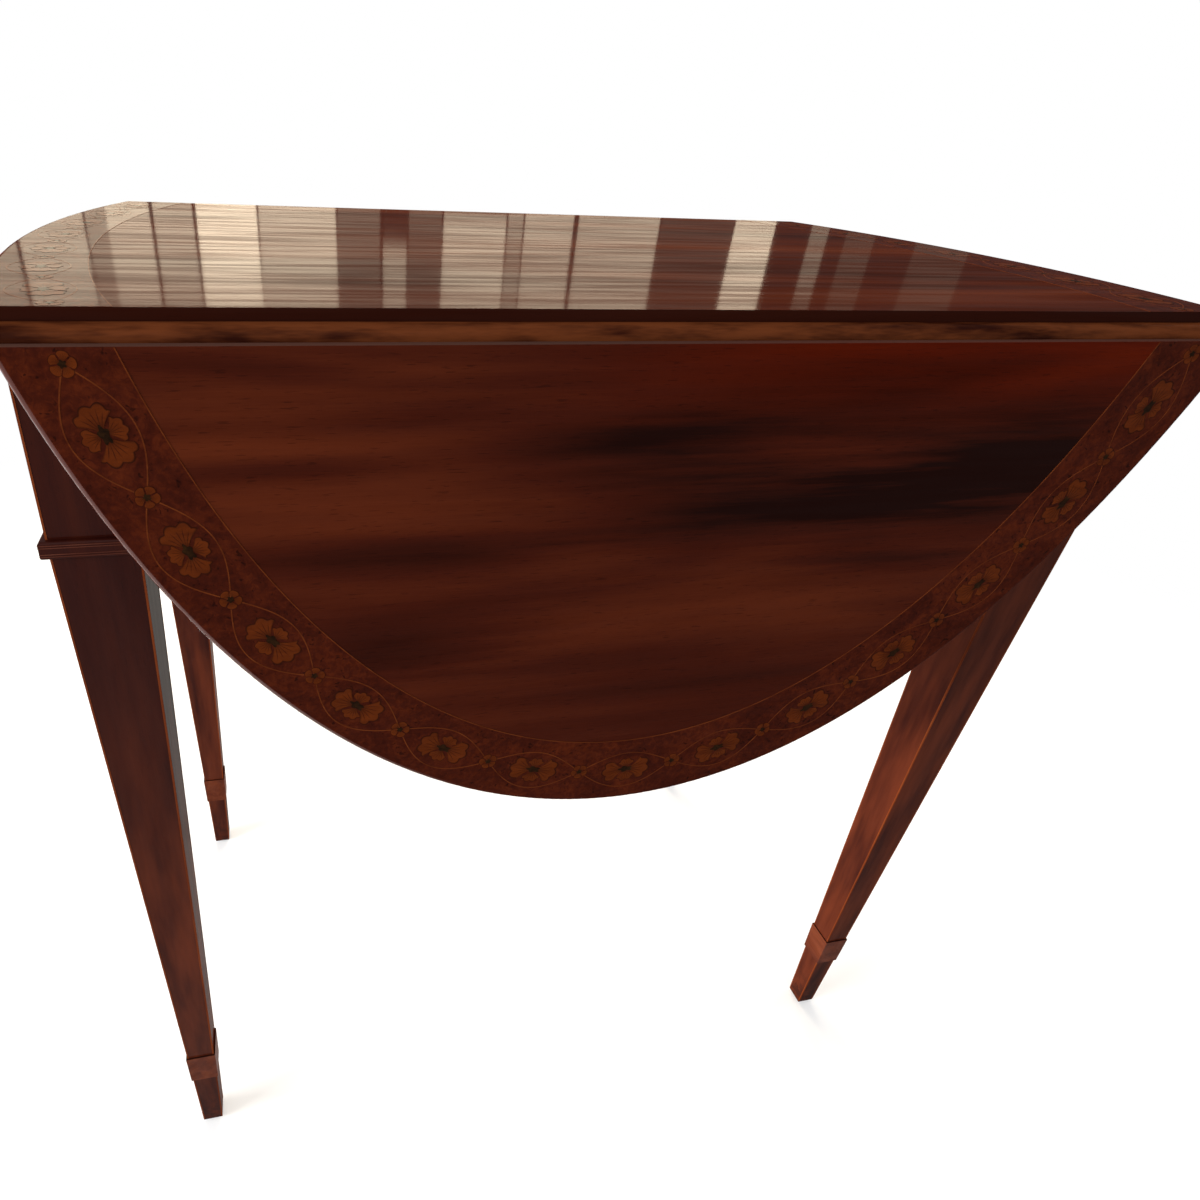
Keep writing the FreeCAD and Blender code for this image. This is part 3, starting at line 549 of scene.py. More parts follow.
@dataclass(frozen=True)
class LeafBoard(WoodFinish):
    """Leaf with smoky streaks at known places, redder wood by the hinge, a rim that shines at one end and a
    painted highlight line along the upper arris.
    """

    streaks_on_leaf: tuple[SmokeStreak, ...] = ()
    plain_share: float = 0.6
    drift: float = 10.0 * MM
    drift_draw: Point = (5.0, 30.0, 30.0)
    drift_along: float = 3.0
    fray: float = 1.3
    fray_draw: Point = (7.0, 130.0, 130.0)
    fade: float = 1.5
    oval: OvalBoard | None = None
    rim_width: float = 3.2 * MM
    rim_blur: float = 0.004
    rim: Colour = (70, 26, 16)
    rim_coat: float = 0.9
    dull_from: float = -0.24
    dull_to: float = -0.08
    # Painted highlight along the upper arris: its pale colour, its share, and the band below the hinge height
    # where it lies
    arris_highlight: Colour = (122, 104, 94)
    arris_highlight_share: float = 0.35
    arris_from: float = 0.5 * MM
    arris_to: float = 0.2 * MM
    red_from: float = -0.12
    red_to: float = 0.08
    red_drop: float = 60.0 * MM
    red_tint: Point = (1.5, 0.75, 0.25)

    def wear(self, canvas: NodeCanvas, surface: Surface) -> None:
        """Rubs the rim, which keeps its shine at one end, and paints a pale highlight line along the upper
        arris.

        A place on the oval drawn in by the rim's width has 1 as the sum of its squared shares. The wood turns
        redder towards the hinge and the other end.

        Args:
            canvas: the material's canvas.
            surface: what the finish feeds to its shader; changed in place.
        """
        x, _, z = canvas.split(canvas.place())
        hinge_z = self.oval.hinge_z
        level = canvas.math("SUBTRACT", self.oval.hinge_y + hinge_z, z)
        along = canvas.math("DIVIDE", x, self.oval.half_length - self.rim_width)
        out = canvas.math("DIVIDE", level, self.oval.half_width - self.rim_width)
        squares = canvas.math("ADD", canvas.times(along, along), canvas.times(out, out))
        rim = canvas.smooth(squares, 1.0, 1.0 + self.rim_blur)
        # Painted highlight: a pale line just below the hinge height, standing in for light caught by the
        # rounded upper edge
        highlight_line = canvas.smooth(z, hinge_z - self.arris_from, hinge_z - self.arris_to)
        high = canvas.smooth(z, hinge_z - self.red_drop, hinge_z)
        red = canvas.times(high, canvas.smooth(x, self.red_from, self.red_to))
        wood = canvas.mix(red, surface.colour, (*self.red_tint, 1.0), "MULTIPLY")
        rubbed = canvas.mix(rim, wood, linear(self.rim))
        surface.colour = canvas.mix(canvas.times(highlight_line, self.arris_highlight_share), rubbed, linear(self.arris_highlight))
        bright = canvas.rest(canvas.smooth(x, self.dull_from, self.dull_to))
        shine = canvas.times(canvas.times(rim, bright), self.rim_coat)
        surface.coat = canvas.math("MAXIMUM", surface.coat, shine)

    def figure(self, canvas: NodeCanvas, tone: Socket) -> Socket:
        """Takes each streak, an oval cloud that fades to a rim frayed along the grain, off the board's tone.

        Args:
            canvas: the material's canvas.
            tone: tone of the plain wood.

        Returns:
            Tone of the figured wood.
        """
        place = canvas.place()
        fray = canvas.swing(canvas.drawn_noise(place, self.fray_draw, 3.0, 0.6), self.fray)
        drift = canvas.swing(canvas.drawn_noise(place, self.drift_draw, 3.0, 0.5), self.drift)
        x, y, z = canvas.split(place)
        drifted = canvas.joined(canvas.math("ADD", x, canvas.times(drift, self.drift_along)), y,
                                canvas.math("ADD", z, drift))
        total = canvas.math("ADD", canvas.swing(tone, self.plain_share), 0.5)
        for streak in self.streaks_on_leaf:
            local = canvas.add("ShaderNodeMapping", vector_type="TEXTURE")
            local.inputs["Location"].default_value = (streak.x, 0.0, streak.z)
            local.inputs["Rotation"].default_value = (0.0, -streak.tilt, 0.0)
            local.inputs["Scale"].default_value = (streak.half_length, 1.0 / MM, streak.half_height)
            canvas.feed(local.inputs["Vector"], drifted)
            far = canvas.add("ShaderNodeVectorMath", operation="LENGTH")
            canvas.feed(far.inputs[0], local.outputs[0])
            reach = canvas.math("ADD", far.outputs["Value"], fray)
            inside = canvas.rest(canvas.smooth(reach, 0.0, self.fade))
            total = canvas.math("SUBTRACT", total, canvas.times(inside, streak.depth))
        return canvas.math("ADD", total, 0.0, clamp=True)


@dataclass(frozen=True)
class MouldedTop(WoodFinish):
    """Top board whose long edges have a dark upright fillet over a rubbed, paler ovolo."""

    edge_y: float = 212.0 * MM
    fillet_from: float = -0.4 * MM
    fillet_to: float = -0.1 * MM
    fillet_dark: Colour = (38, 14, 9)
    fillet_share: float = 0.8
    fillet_dulling: float = 0.22
    ovolo_from: float = 0.3 * MM
    ovolo_to: float = 1.2 * MM
    rubbed: Colour = (108, 56, 29)
    patch_draw: Point = (14.0, 90.0, 90.0)

    def wear(self, canvas: NodeCanvas, surface: Surface) -> None:
        """Darkens the fillet and rubs the ovolo, found by their distance from the table's middle.

        Args:
            canvas: the material's canvas.
            surface: what the finish feeds to its shader; changed in place.
        """
        place = canvas.place()
        _, y, _ = canvas.split(place)
        out = canvas.math("ABSOLUTE", y)
        edge = canvas.smooth(out, self.edge_y + self.fillet_from, self.edge_y + self.fillet_to)
        ovolo = canvas.smooth(out, self.edge_y + self.ovolo_from, self.edge_y + self.ovolo_to)
        patchy = canvas.drawn_noise(place, self.patch_draw, 4.0, 0.65)
        rubbed = canvas.times(ovolo, canvas.smooth(patchy, 0.3, 0.62))
        # A darker colour is painted on the upright fillet
        fillet_darkening = canvas.times(edge, self.fillet_share)
        darkened = canvas.mix(fillet_darkening, surface.colour, linear(self.fillet_dark))
        surface.colour = canvas.mix(rubbed, darkened, linear(self.rubbed))
        dull = canvas.times(edge, self.fillet_dulling)
        surface.roughness = canvas.math("ADD", surface.roughness, dull, clamp=True)


@dataclass(frozen=True)
class TaperedLegWood(WoodFinish):
    """Leg wood with painted light, warmer and lighter below a height where the leaf's shadow no longer falls,
    and scuffed at the toe.
    """

    # Painted light: the lighter, warmer colour of the lower leg, and the heights between which it fades out
    warm: Colour = (98, 43, 24)
    painted_light_from: float = 240.0 * MM
    warm_to: float = 580.0 * MM
    patch_draw: Point = (60.0, 60.0, 9.0)
    scuff: Colour = (44, 22, 18)
    scuff_share: float = 0.7
    scuff_dulling: float = 0.3
    scuff_top: float = 60.0 * MM
    scuff_full: float = 4.0 * MM

    def wear(self, canvas: NodeCanvas, surface: Surface) -> None:
        """Paints light on the wood below a height and scuffs the toe, by height.

        Args:
            canvas: the material's canvas.
            surface: what the finish feeds to its shader; changed in place.
        """
        place = canvas.place()
        _, _, z = canvas.split(place)
        # Painted light below a height; the upper leg stays darker, as if in the leaf's shadow
        low = canvas.rest(canvas.smooth(z, self.painted_light_from, self.warm_to))
        patchy = canvas.drawn_noise(place, self.patch_draw, 3.0, 0.6)
        warm = canvas.times(low, canvas.smooth(patchy, 0.2, 0.75))
        lit_colour = canvas.mix(warm, surface.colour, linear(self.warm))
        toe = canvas.rest(canvas.smooth(z, self.scuff_full, self.scuff_top))
        knocks = canvas.smooth(canvas.noise(place, 130.0, 4.0, 0.7), 0.42, 0.6)
        scuffed = canvas.times(toe, knocks)
        surface.colour = canvas.mix(canvas.times(scuffed, self.scuff_share), lit_colour, linear(self.scuff))
        dull = canvas.times(scuffed, self.scuff_dulling)
        surface.roughness = canvas.math("ADD", surface.roughness, dull, clamp=True)


@dataclass(frozen=True)
class AnkleBandWood(WoodFinish):
    """Wood of an ankle band, darker along its upper ledge."""

    ledge_z: float = 108.0 * MM
    ledge_from: float = 0.4 * MM
    ledge_to: float = 0.1 * MM
    # Darker colour painted along the band's upper ledge, and its share
    ledge_dark: Colour = (26, 11, 9)
    ledge_dark_share: float = 0.9

    def wear(self, canvas: NodeCanvas, surface: Surface) -> None:
        """Darkens and dulls the ledge, found by its height.

        Args:
            canvas: the material's canvas.
            surface: what the finish feeds to its shader; changed in place.
        """
        _, _, z = canvas.split(canvas.place())
        ledge = canvas.smooth(z, self.ledge_z - self.ledge_from, self.ledge_z - self.ledge_to)
        # A darker colour is painted on the ledge just below the band's top
        darkened_ledge = canvas.times(ledge, self.ledge_dark_share)
        surface.colour = canvas.mix(darkened_ledge, surface.colour, linear(self.ledge_dark))
        surface.coat = canvas.times(surface.coat, canvas.rest(ledge))


@dataclass(frozen=True)
class BurrFinish:
    """Burr veneer of the border, under the same polish as the boards."""

    name: str
    dark: Colour
    middle: Colour
    light: Colour
    speck: Colour
    speck_share: float = 0.75
    scale: float = 55.0
    gloss: float = 0.16
    haze: float = 0.1
    rub: float = 0.04
    coat: float = 0.03
    figure_height: float = 0.4
    bump_strength: float = 0.12
    bump_depth: float = 0.5 * MM

    def dress(self) -> bpy.types.Material:
        """Builds the material."""
        material, canvas, shader = fresh_material(self.name)
        place = canvas.place()
        burr = canvas.group(burr_figure(), Vector=place, Scale=self.scale)
        polish = canvas.group(hand_polish(), Vector=place, Gloss=self.gloss, Haze=self.haze, Rub=self.rub)
        colour = canvas.ramp(burr["Tone"], [(0.0, self.dark), (0.5, self.middle), (1.0, self.light)])
        specks = canvas.times(burr["Specks"], self.speck_share)
        colour = canvas.mix(specks, colour, linear(self.speck))
        height = canvas.math("ADD", canvas.times(burr["Height"], self.figure_height), polish["Ripple"])
        surface = Surface(colour, polish["Roughness"], canvas.times(polish["Coat"], self.coat))
        surface.wire(canvas, shader, canvas.bump(height, self.bump_strength, self.bump_depth))
        return material


@dataclass(frozen=True)
class PetalFinish:
    """Sand-shaded petal veneer with engraved lines and a burnt edge, drawn on the petal's own map."""

    name: str
    wood: Colour
    pale: Colour
    shade: Colour
    lines: int = 6
    line_edge: tuple[float, float] = (0.72, 0.97)
    line_end: tuple[float, float] = (0.45, 0.85)
    line_shade: float = 0.8
    foot_end: float = 0.5
    foot_shade: float = 0.5
    flank_edge: tuple[float, float] = (0.44, 0.5)
    flank_share: float = 0.7
    rim_edge: tuple[float, float] = (0.9, 0.98)
    rim_shade: float = 0.85
    gloss: float = 0.16
    haze: float = 0.08
    rub: float = 0.03
    coat: float = 0.03
    bump_strength: float = 0.1
    bump_depth: float = 0.3 * MM

    def dress(self) -> bpy.types.Material:
        """Builds the material: lines run from the foot, the foot and the rim are darker."""
        material, canvas, shader = fresh_material(self.name)
        place = canvas.place()
        source = canvas.add("ShaderNodeUVMap", uv_map="petal")
        across, out, _ = canvas.split(source.outputs[0])
        grain = canvas.group(wood_grain(), Vector=place, Streaks=160.0, Run=0.4, Waver=0.8, Ribbon=0.6,
                             Fibre=0.5, Open_Pores=0.2)
        polish = canvas.group(hand_polish(), Vector=place, Gloss=self.gloss, Haze=self.haze, Rub=self.rub)
        colour = canvas.ramp(grain["Tone"], [(0.0, self.wood), (1.0, self.pale)])
        wander = canvas.times(canvas.noise(place, 700.0, 2.0), 0.9)
        phase = canvas.math("ADD", canvas.times(across, math.tau * self.lines), wander)
        engraved = canvas.smooth(canvas.math("COSINE", phase), *self.line_edge)
        reach = canvas.rest(canvas.smooth(out, *self.line_end))
        engraved = canvas.times(engraved, reach)
        foot = canvas.rest(canvas.smooth(out, 0.0, self.foot_end))
        side = canvas.math("ABSOLUTE", canvas.math("SUBTRACT", across, 0.5))
        flank = canvas.times(canvas.smooth(side, *self.flank_edge), self.flank_share)
        rim = canvas.math("MAXIMUM", canvas.smooth(out, *self.rim_edge), flank)
        burnt = canvas.times(rim, self.rim_shade)
        shaded = canvas.math("MAXIMUM", canvas.times(foot, self.foot_shade), burnt)
        shaded = canvas.math("MAXIMUM", shaded, canvas.times(engraved, self.line_shade), clamp=True)
        colour = canvas.mix(shaded, colour, linear(self.shade))
        height = canvas.math("SUBTRACT", polish["Ripple"], engraved)
        surface = Surface(colour, polish["Roughness"], canvas.times(polish["Coat"], self.coat))
        surface.wire(canvas, shader, canvas.bump(height, self.bump_strength, self.bump_depth))
        return material


@dataclass(frozen=True)
class MetalFinish:
    """Old brass, iron or steel."""

    name: str
    bright: Colour
    tarnished: Colour
    scale: float
    gloss: float
    pitting: float
    bump_depth: float = 0.4 * MM

    def dress(self) -> bpy.types.Material:
        """Builds the material."""
        material, canvas, shader = fresh_material(self.name)
        place = canvas.place()
        patina = canvas.group(metal_patina(), Vector=place, Scale=self.scale, Gloss=self.gloss)
        shader.inputs["Metallic"].default_value = 1.0
        colour = canvas.ramp(patina["Tarnish"], [(0.0, self.bright), (1.0, self.tarnished)])
        canvas.feed(shader.inputs["Base Color"], colour)
        canvas.feed(shader.inputs["Roughness"], patina["Roughness"])
        canvas.feed(shader.inputs["Normal"], canvas.bump(patina["Height"], self.pitting, self.bump_depth))
        return material


# Mesh helpers

def grid_quads(rows: int, columns: int, wrap_rows: bool = False, wrap_columns: bool = False) -> np.ndarray:
    """Quads of a grid whose points run column by column within each row.

    Args:
        rows: points down the grid.
        columns: points across the grid.
        wrap_rows: whether the last row joins the first.
        wrap_columns: whether the last column joins the first.

    Returns:
        Four point numbers for each quad.
    """
    row = np.arange(rows if wrap_rows else rows - 1)[:, None]
    column = np.arange(columns if wrap_columns else columns - 1)[None, :]
    next_row = (row + 1) % rows
    next_column = (column + 1) % columns
    corners = [row * columns + column, row * columns + next_column, next_row * columns + next_column,
               next_row * columns + column]
    return np.stack([corner.ravel() for corner in corners], axis=1)


def slab(upper: np.ndarray, lower: np.ndarray) -> Mesh:
    """Closed thin solids between pairs of like grids: both faces, and a wall round the grid's rim.

    Args:
        upper: outer faces, shape (copies, rows, columns, 3).
        lower: inner faces of the same shape.

    Returns:
        Points and quads of all the copies.
    """
    copies, rows, columns, _ = upper.shape
    count = rows * columns
    index = np.arange(count).reshape(rows, columns)
    rim = np.concatenate([index[0, :-1], index[:-1, -1], index[-1, :0:-1], index[:0:-1, 0]])
    after = np.roll(rim, -1)
    face = grid_quads(rows, columns)
    wall = np.stack([after, rim, rim + count, after + count], axis=1)
    one = np.concatenate([face, face[:, ::-1] + count, wall])
    points = np.concatenate([upper.reshape(copies, count, 3), lower.reshape(copies, count, 3)], axis=1)
    quads = one[None] + (2 * count * np.arange(copies))[:, None, None]
    return points.reshape(-1, 3), quads.reshape(-1, 4)


def tubes(rings: np.ndarray) -> Mesh:
    """Closed rings of a closed profile: a profile carried round a closed path, wrapped both ways.

    Args:
        rings: shape (copies, path points, profile points, 3).

    Returns:
        Points and quads of all the copies.
    """
    copies, path, profile, _ = rings.shape
    one = grid_quads(path, profile, wrap_rows=True, wrap_columns=True)
    quads = one[None] + (path * profile * np.arange(copies))[:, None, None]
    return rings.reshape(-1, 3), quads.reshape(-1, 4)


def outward(points: np.ndarray, quads: np.ndarray) -> np.ndarray:
    """Turns all quads round if the solid's signed volume is negative.

    Args:
        points: corner places.
        quads: corner numbers.

    Returns:
        Quads that face out of the solid.
    """
    a, b, c, d = (points[quads[:, k]] for k in range(4))
    volume = np.einsum("ij,ij->", a, np.cross(b, c)) + np.einsum("ij,ij->", a, np.cross(c, d))
    return quads if volume > 0 else quads[:, ::-1]


def lay_piece(name: str, mesh: Mesh, body: str, material: bpy.types.Material,
              petal_map: np.ndarray | None = None) -> None:
    """Makes a piece of the part from points and quads.

    Args:
        name: the piece's name.
        mesh: points in metres and quads.
        body: body that it moves with.
        material: its material.
        petal_map: one pair of map coordinates for each point, if the finish needs them.
    """
    points, quads = mesh
    quads = outward(points, quads)
    data = bpy.data.meshes.new(name)
    data.from_pydata(points.tolist(), [], quads.tolist())
    if petal_map is not None:
        layer = data.uv_layers.new(name="petal")
        corners = np.zeros(len(data.loops), np.int32)
        data.loops.foreach_get("vertex_index", corners)
        layer.uv.foreach_set("vector", petal_map[corners].astype(np.float32).ravel())
    data.materials.append(material)
    data.update()
    piece = bpy.data.objects.new(name, data)
    bpy.context.scene.collection.objects.link(piece)
    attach(piece, body)
    LOG.info("%s: %d quads on %s", name, len(quads), body)


# Boards and border

@dataclass(frozen=True)
class OvalBoard:
    """Level oval that the top and the leaves are cut from, and where each of them rests."""

    half_length: float
    half_width: float
    hinge_y: float
    hinge_z: float
    face_z: float

    @classmethod
    def from_frame(cls, frame: dict[str, Any]) -> OvalBoard:
        """Reads the oval from the top, the near leaf and its hinge.

        Args:
            frame: the loaded frame.

        Returns:
            The oval.
        """
        hinge = next(joint for joint in frame["joints"] if joint["name"] == "leaf_near_hinge")
        hinge_y, hinge_z = abs(hinge["pos_m"][1]), hinge["pos_m"][2]
        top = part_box("top_panel")[1]
        reach = hinge_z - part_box("leaf_near")[0].z
        return cls(top.x, hinge_y + reach, hinge_y, hinge_z, top.z)

    def lay(self, level: np.ndarray, rise: float, ground: Ground) -> np.ndarray:
        """Carries level points to a board at rest.

        A leaf's points turn a quarter about the hinge line: distance past the line becomes depth below it.

        Args:
            level: places on the level oval, shape (..., 2).
            rise: height above the board's face.
            ground: the board.

        Returns:
            Places in the frame, shape (..., 3).
        """
        x, y = level[..., 0], level[..., 1]
        if ground is Ground.TOP:
            return np.stack([x, y, np.full_like(x, self.face_z + rise)], axis=-1)
        side = -1.0 if ground is Ground.NEAR_LEAF else 1.0
        out = self.hinge_y + self.face_z - self.hinge_z + rise
        return np.stack([x, np.full_like(x, side * out), self.hinge_z + self.hinge_y - y], axis=-1)


@dataclass(frozen=True)
class BorderRun:
    """One stretch of the border: the arc of a leaf, or one end of the top."""

    label: str
    ground: Ground
    middle_angle: float
    line: float
    loops: int

    def half_angle(self, depth_half_width: np.ndarray) -> np.ndarray:
        """Angle from the stretch's middle to the hinge line, on an oval of that half width."""
        angle = np.arcsin(self.line / depth_half_width)
        return angle if self.ground is Ground.TOP else math.pi / 2 - angle


@dataclass(frozen=True)
class FlowerKind:
    """Cut of one kind of flower: its petals, by their lengths in turn, and the half sizes of its eye."""

    label: str
    lengths: tuple[float, ...]
    cut: tuple[float, float]
    foot: float
    half_spread: float
    ruffle: float
    eye: tuple[float, float]
    foot_spread: float = 0.42
    fall: float = 0.2
    lobes: float = 1.6
    lobe_shift: float = 5.0
    eye_points: float = 5.0
    eye_point_reach: float = 0.22


LARGE_FLOWER = FlowerKind("large", (16.0 * MM, 10.2 * MM) * 2, (0.92, 1.06), foot=2.2 * MM, half_spread=0.81,
                          ruffle=0.13, eye=(4.2 * MM, 2.2 * MM))
SMALL_FLOWER = FlowerKind("small", (6.0 * MM,) * 5, (0.92, 1.0), foot=1.0 * MM, half_spread=0.60, ruffle=0.0,
                          eye=(1.6 * MM, 1.6 * MM))


@dataclass
class InlaidBorder:
    """Burr band with a string inside it, two strings crossing in loops, and flowers in and between them."""

    oval: OvalBoard
    finishes: dict[str, bpy.types.Material]
    edge_round: float = 3.0 * MM
    width: float = 50.8 * MM
    lean: float = 5.6 * MM
    string_width: float = 0.65 * MM
    flower_depth: float = 26.5 * MM
    end_margin: float = 7.0 * MM
    leaf_loops: int = 13
    end_loops: int = 7
    past_line: float = 0.6 * MM
    short_of_line: float = 0.3 * MM
    loop_reach: float = 14.5 * MM
    loop_shift: float = 0.8 * MM
    flower_turn: float = 0.16
    petal_turn: float = 0.1
    band_rise: float = 0.10 * MM
    string_rise: float = 0.14 * MM
    loop_rise: float = 0.16 * MM
    petal_rise: float = 0.19 * MM
    eye_rise: float = 0.23 * MM
    sunk: float = 0.3 * MM
    band_samples: tuple[int, int] = (240, 3)
    line_samples: int = 4000
    loop_samples: int = 36
    petal_samples: tuple[int, int] = (7, 33)
    eye_samples: int = 9

    def runs(self) -> tuple[BorderRun, ...]:
        """Stretches of the border: one arc on each leaf and one at each end of the top."""
        leaf_line = self.oval.hinge_y + self.past_line
        top_line = self.oval.hinge_y - self.short_of_line
        return (BorderRun("near", Ground.NEAR_LEAF, math.pi / 2, leaf_line, self.leaf_loops),
                BorderRun("far", Ground.FAR_LEAF, math.pi / 2, leaf_line, self.leaf_loops),
                BorderRun("top_right", Ground.TOP, 0.0, top_line, self.end_loops),
                BorderRun("top_left", Ground.TOP, math.pi, top_line, self.end_loops))

    def point(self, run: BorderRun, share: np.ndarray, depth: np.ndarray) -> np.ndarray:
        """Level place on the border.

        The place is on an oval drawn in by the depth; its angle goes from hinge line to hinge line with the
        share. The inner oval sits a little to the left, so the band is narrower there and wider opposite.

        Args:
            run: stretch of the border.
            share: 0 to 1 along the stretch.
            depth: distance in from the outline.

        Returns:
            Places, shape (..., 2).
        """
        half_length = self.oval.half_length - depth
        half_width = self.oval.half_width - depth
        angle = run.middle_angle + (2.0 * share - 1.0) * run.half_angle(half_width)
        left = self.lean * (depth - self.edge_round) / (self.width - self.edge_round)
        return np.stack([half_length * np.cos(angle) - left, half_width * np.sin(angle)], axis=-1)

    def veneer(self, level: np.ndarray, rise: float, ground: Ground) -> Mesh:
        """Thin solids let into a board.

        Args:
            level: grids of places on the level oval, shape (copies, rows, columns, 2).
            rise: height of the faces above the board.
            ground: the board.

        Returns:
            Points and quads.
        """
        return slab(self.oval.lay(level, rise, ground), self.oval.lay(level, -self.sunk, ground))

    def strip(self, run: BorderRun, depths: tuple[float, float], rise: float) -> Mesh:
        """Band between two depths, as a closed slab.

        Args:
            run: stretch of the border.
            depths: outer and inner depth.
            rise: height of its face above the board.

        Returns:
            Points and quads.
        """
        along, across = self.band_samples
        share, depth = np.meshgrid(np.linspace(0.0, 1.0, along), np.linspace(*depths, across), indexing="ij")
        return self.veneer(self.point(run, share, depth)[None], rise, run.ground)

    def flower_line(self, run: BorderRun, steps: np.ndarray) -> tuple[np.ndarray, np.ndarray, np.ndarray]:
        """Even steps along the line of the flowers.

        Args:
            run: stretch of the border.
            steps: places counted in loops from the first small flower.

        Returns:
            Level places, directions along the line and directions out to the rim.
        """
        share = np.linspace(0.0, 1.0, self.line_samples)
        line = self.point(run, share, np.full_like(share, self.flower_depth))
        gone = np.concatenate([[0.0], np.cumsum(np.linalg.norm(np.diff(line, axis=0), axis=1))])
        pitch = (gone[-1] - 2.0 * self.end_margin) / run.loops
        wanted = self.end_margin + steps * pitch
        place = np.stack([np.interp(wanted, gone, line[:, k]) for k in range(2)], axis=-1)
        slope = np.gradient(line, axis=0)
        along = np.stack([np.interp(wanted, gone, slope[:, k]) for k in range(2)], axis=-1)
        along /= np.linalg.norm(along, axis=-1, keepdims=True)
        out = np.stack([along[..., 1], -along[..., 0]], axis=-1)
        return place, along, out

    def set_out(self, run: BorderRun, steps: np.ndarray, local: np.ndarray) -> np.ndarray:
        """Carries shapes drawn about a flower's middle to the flowers of a stretch.

        Args:
            run: stretch of the border.
            steps: places of the flowers, in loops.
            local: places along the line of the flowers and out from it, shape (flowers or 1, ..., 2).

        Returns:
            Level places, shape (flowers, ..., 2).
        """
        shape = (len(steps), *(1,) * (local.ndim - 2), 2)
        place, along, out = (part.reshape(shape) for part in self.flower_line(run, steps))
        return place + local[..., :1] * along + local[..., 1:] * out

    def loop_strings(self, run: BorderRun) -> Mesh:
        """Two strings that cross at each small flower.

        Each is a sine of one half wave to a loop about the line of the flowers, pushed a little to the rim.

        Args:
            run: stretch of the border.

        Returns:
            Points and quads of both strings.
        """
        steps = np.linspace(0.0, run.loops, run.loops * self.loop_samples + 1)
        place, _, out = self.flower_line(run, steps)
        wave = np.sin(math.pi * steps)
        sides = np.array([1.0, -1.0])[:, None]
        offset = sides * self.loop_reach * wave + self.loop_shift * wave ** 2
        centre = place[None] + offset[..., None] * out[None]
        along = np.gradient(centre, axis=1)
        along /= np.linalg.norm(along, axis=-1, keepdims=True)
        across = np.stack([-along[..., 1], along[..., 0]], axis=-1)
        edges = np.array([-0.5, 0.5])[None, None, :, None] * self.string_width
        level = centre[:, :, None, :] + edges * across[:, :, None, :]
        return self.veneer(level, self.loop_rise, run.ground)

    def petals(self, run: BorderRun, kind: FlowerKind, steps: np.ndarray, angles: np.ndarray,
               reach: np.ndarray) -> tuple[Mesh, np.ndarray]:
        """Petals of all the flowers of one kind on a stretch.

        A petal is a fan: its spread opens from the foot outwards, and its rim is a rounded arc with ruffles,
        round lobes whose place differs from petal to petal.

        Args:
            run: stretch of the border.
            kind: cut of the flowers.
            steps: places of the flowers, in loops.
            angles: direction of each petal of each flower, from the line of the flowers.
            reach: length of each petal of each flower.

        Returns:
            Points and quads, and the map coordinates of the points.
        """
        rows, columns = self.petal_samples
        out_share, across = np.meshgrid(np.linspace(0.0, 1.0, rows), np.linspace(-1.0, 1.0, columns),
                                        indexing="ij")
        phase = kind.lobe_shift * (angles + reach / kind.foot)[..., None, None]
        lobes = np.abs(np.cos(kind.lobes * math.pi * across + phase))
        rim = 1.0 - kind.fall * np.abs(across) ** 3 - kind.ruffle * (1.0 - lobes)
        length = reach[..., None, None] * rim - kind.foot
        radius = kind.foot + length * out_share
        opening = kind.foot_spread + (1.0 - kind.foot_spread) * np.sqrt(out_share)
        angle = angles[..., None, None] + kind.half_spread * across * opening
        local = np.stack([radius * np.cos(angle), radius * np.sin(angle)], axis=-1)
        level = self.set_out(run, steps, local)
        level = level.reshape(-1, *level.shape[2:])
        own_map = np.stack([across * 0.5 + 0.5, out_share], axis=-1).reshape(1, -1, 2)
        own_map = np.tile(own_map, (2 * len(level), 1, 1)).reshape(-1, 2)
        return self.veneer(level, self.petal_rise, run.ground), own_map

    def eyes(self, run: BorderRun, kind: FlowerKind, steps: np.ndarray) -> Mesh:
        """Dark middles of the flowers: a square grid pressed into an oval, its rim drawn out in points.

        Args:
            run: stretch of the border.
            kind: cut of the flowers.
            steps: places of the flowers, in loops.

        Returns:
            Points and quads.
        """
        side = np.linspace(-1.0, 1.0, self.eye_samples)
        u, v = np.meshgrid(side, side, indexing="ij")
        a = u * np.sqrt(1.0 - v ** 2 / 2.0)
        b = v * np.sqrt(1.0 - u ** 2 / 2.0)
        points = np.cos(kind.eye_points * np.arctan2(b, a))
        drawn_out = 1.0 + kind.eye_point_reach * np.hypot(a, b) ** 2 * points
        half_along, half_out = kind.eye
        local = np.stack([a * half_along * drawn_out, b * half_out * drawn_out], axis=-1)[None]
        return self.veneer(self.set_out(run, steps, local), self.eye_rise, run.ground)

    def lay(self, label: str, run: BorderRun, finish: str, mesh: Mesh,
            own_map: np.ndarray | None = None) -> None:
        """Lays one piece of a stretch in one of the border's finishes.

        Args:
            label: what the piece is; the stretch's label follows it in the name.
            run: stretch of the border.
            finish: key of the finish.
            mesh: points and quads.
            own_map: map coordinates of the points, if the finish needs them.
        """
        lay_piece(f"{label}_{run.label}", mesh, run.ground.value, self.finishes[finish],
                  own_map)

    def lay_petals(self, run: BorderRun, kind: FlowerKind, steps: np.ndarray, turn: np.ndarray,
                   draw: np.random.Generator) -> None:
        """Lays the petals of one kind of flower.

        Args:
            run: stretch of the border.
            kind: cut of the flowers.
            steps: places of the flowers, in loops.
            turn: angle that each flower, or each petal, is turned by.
            draw: source of the uneven lengths.
        """
        count = len(kind.lengths)
        angles = np.arange(count)[None] * math.tau / count + turn
        reach = np.array(kind.lengths)[None] * draw.uniform(*kind.cut, (len(steps), count))
        mesh, own_map = self.petals(run, kind, steps, angles, reach)
        self.lay(f"{kind.label}_flowers", run, "petal", mesh, own_map)

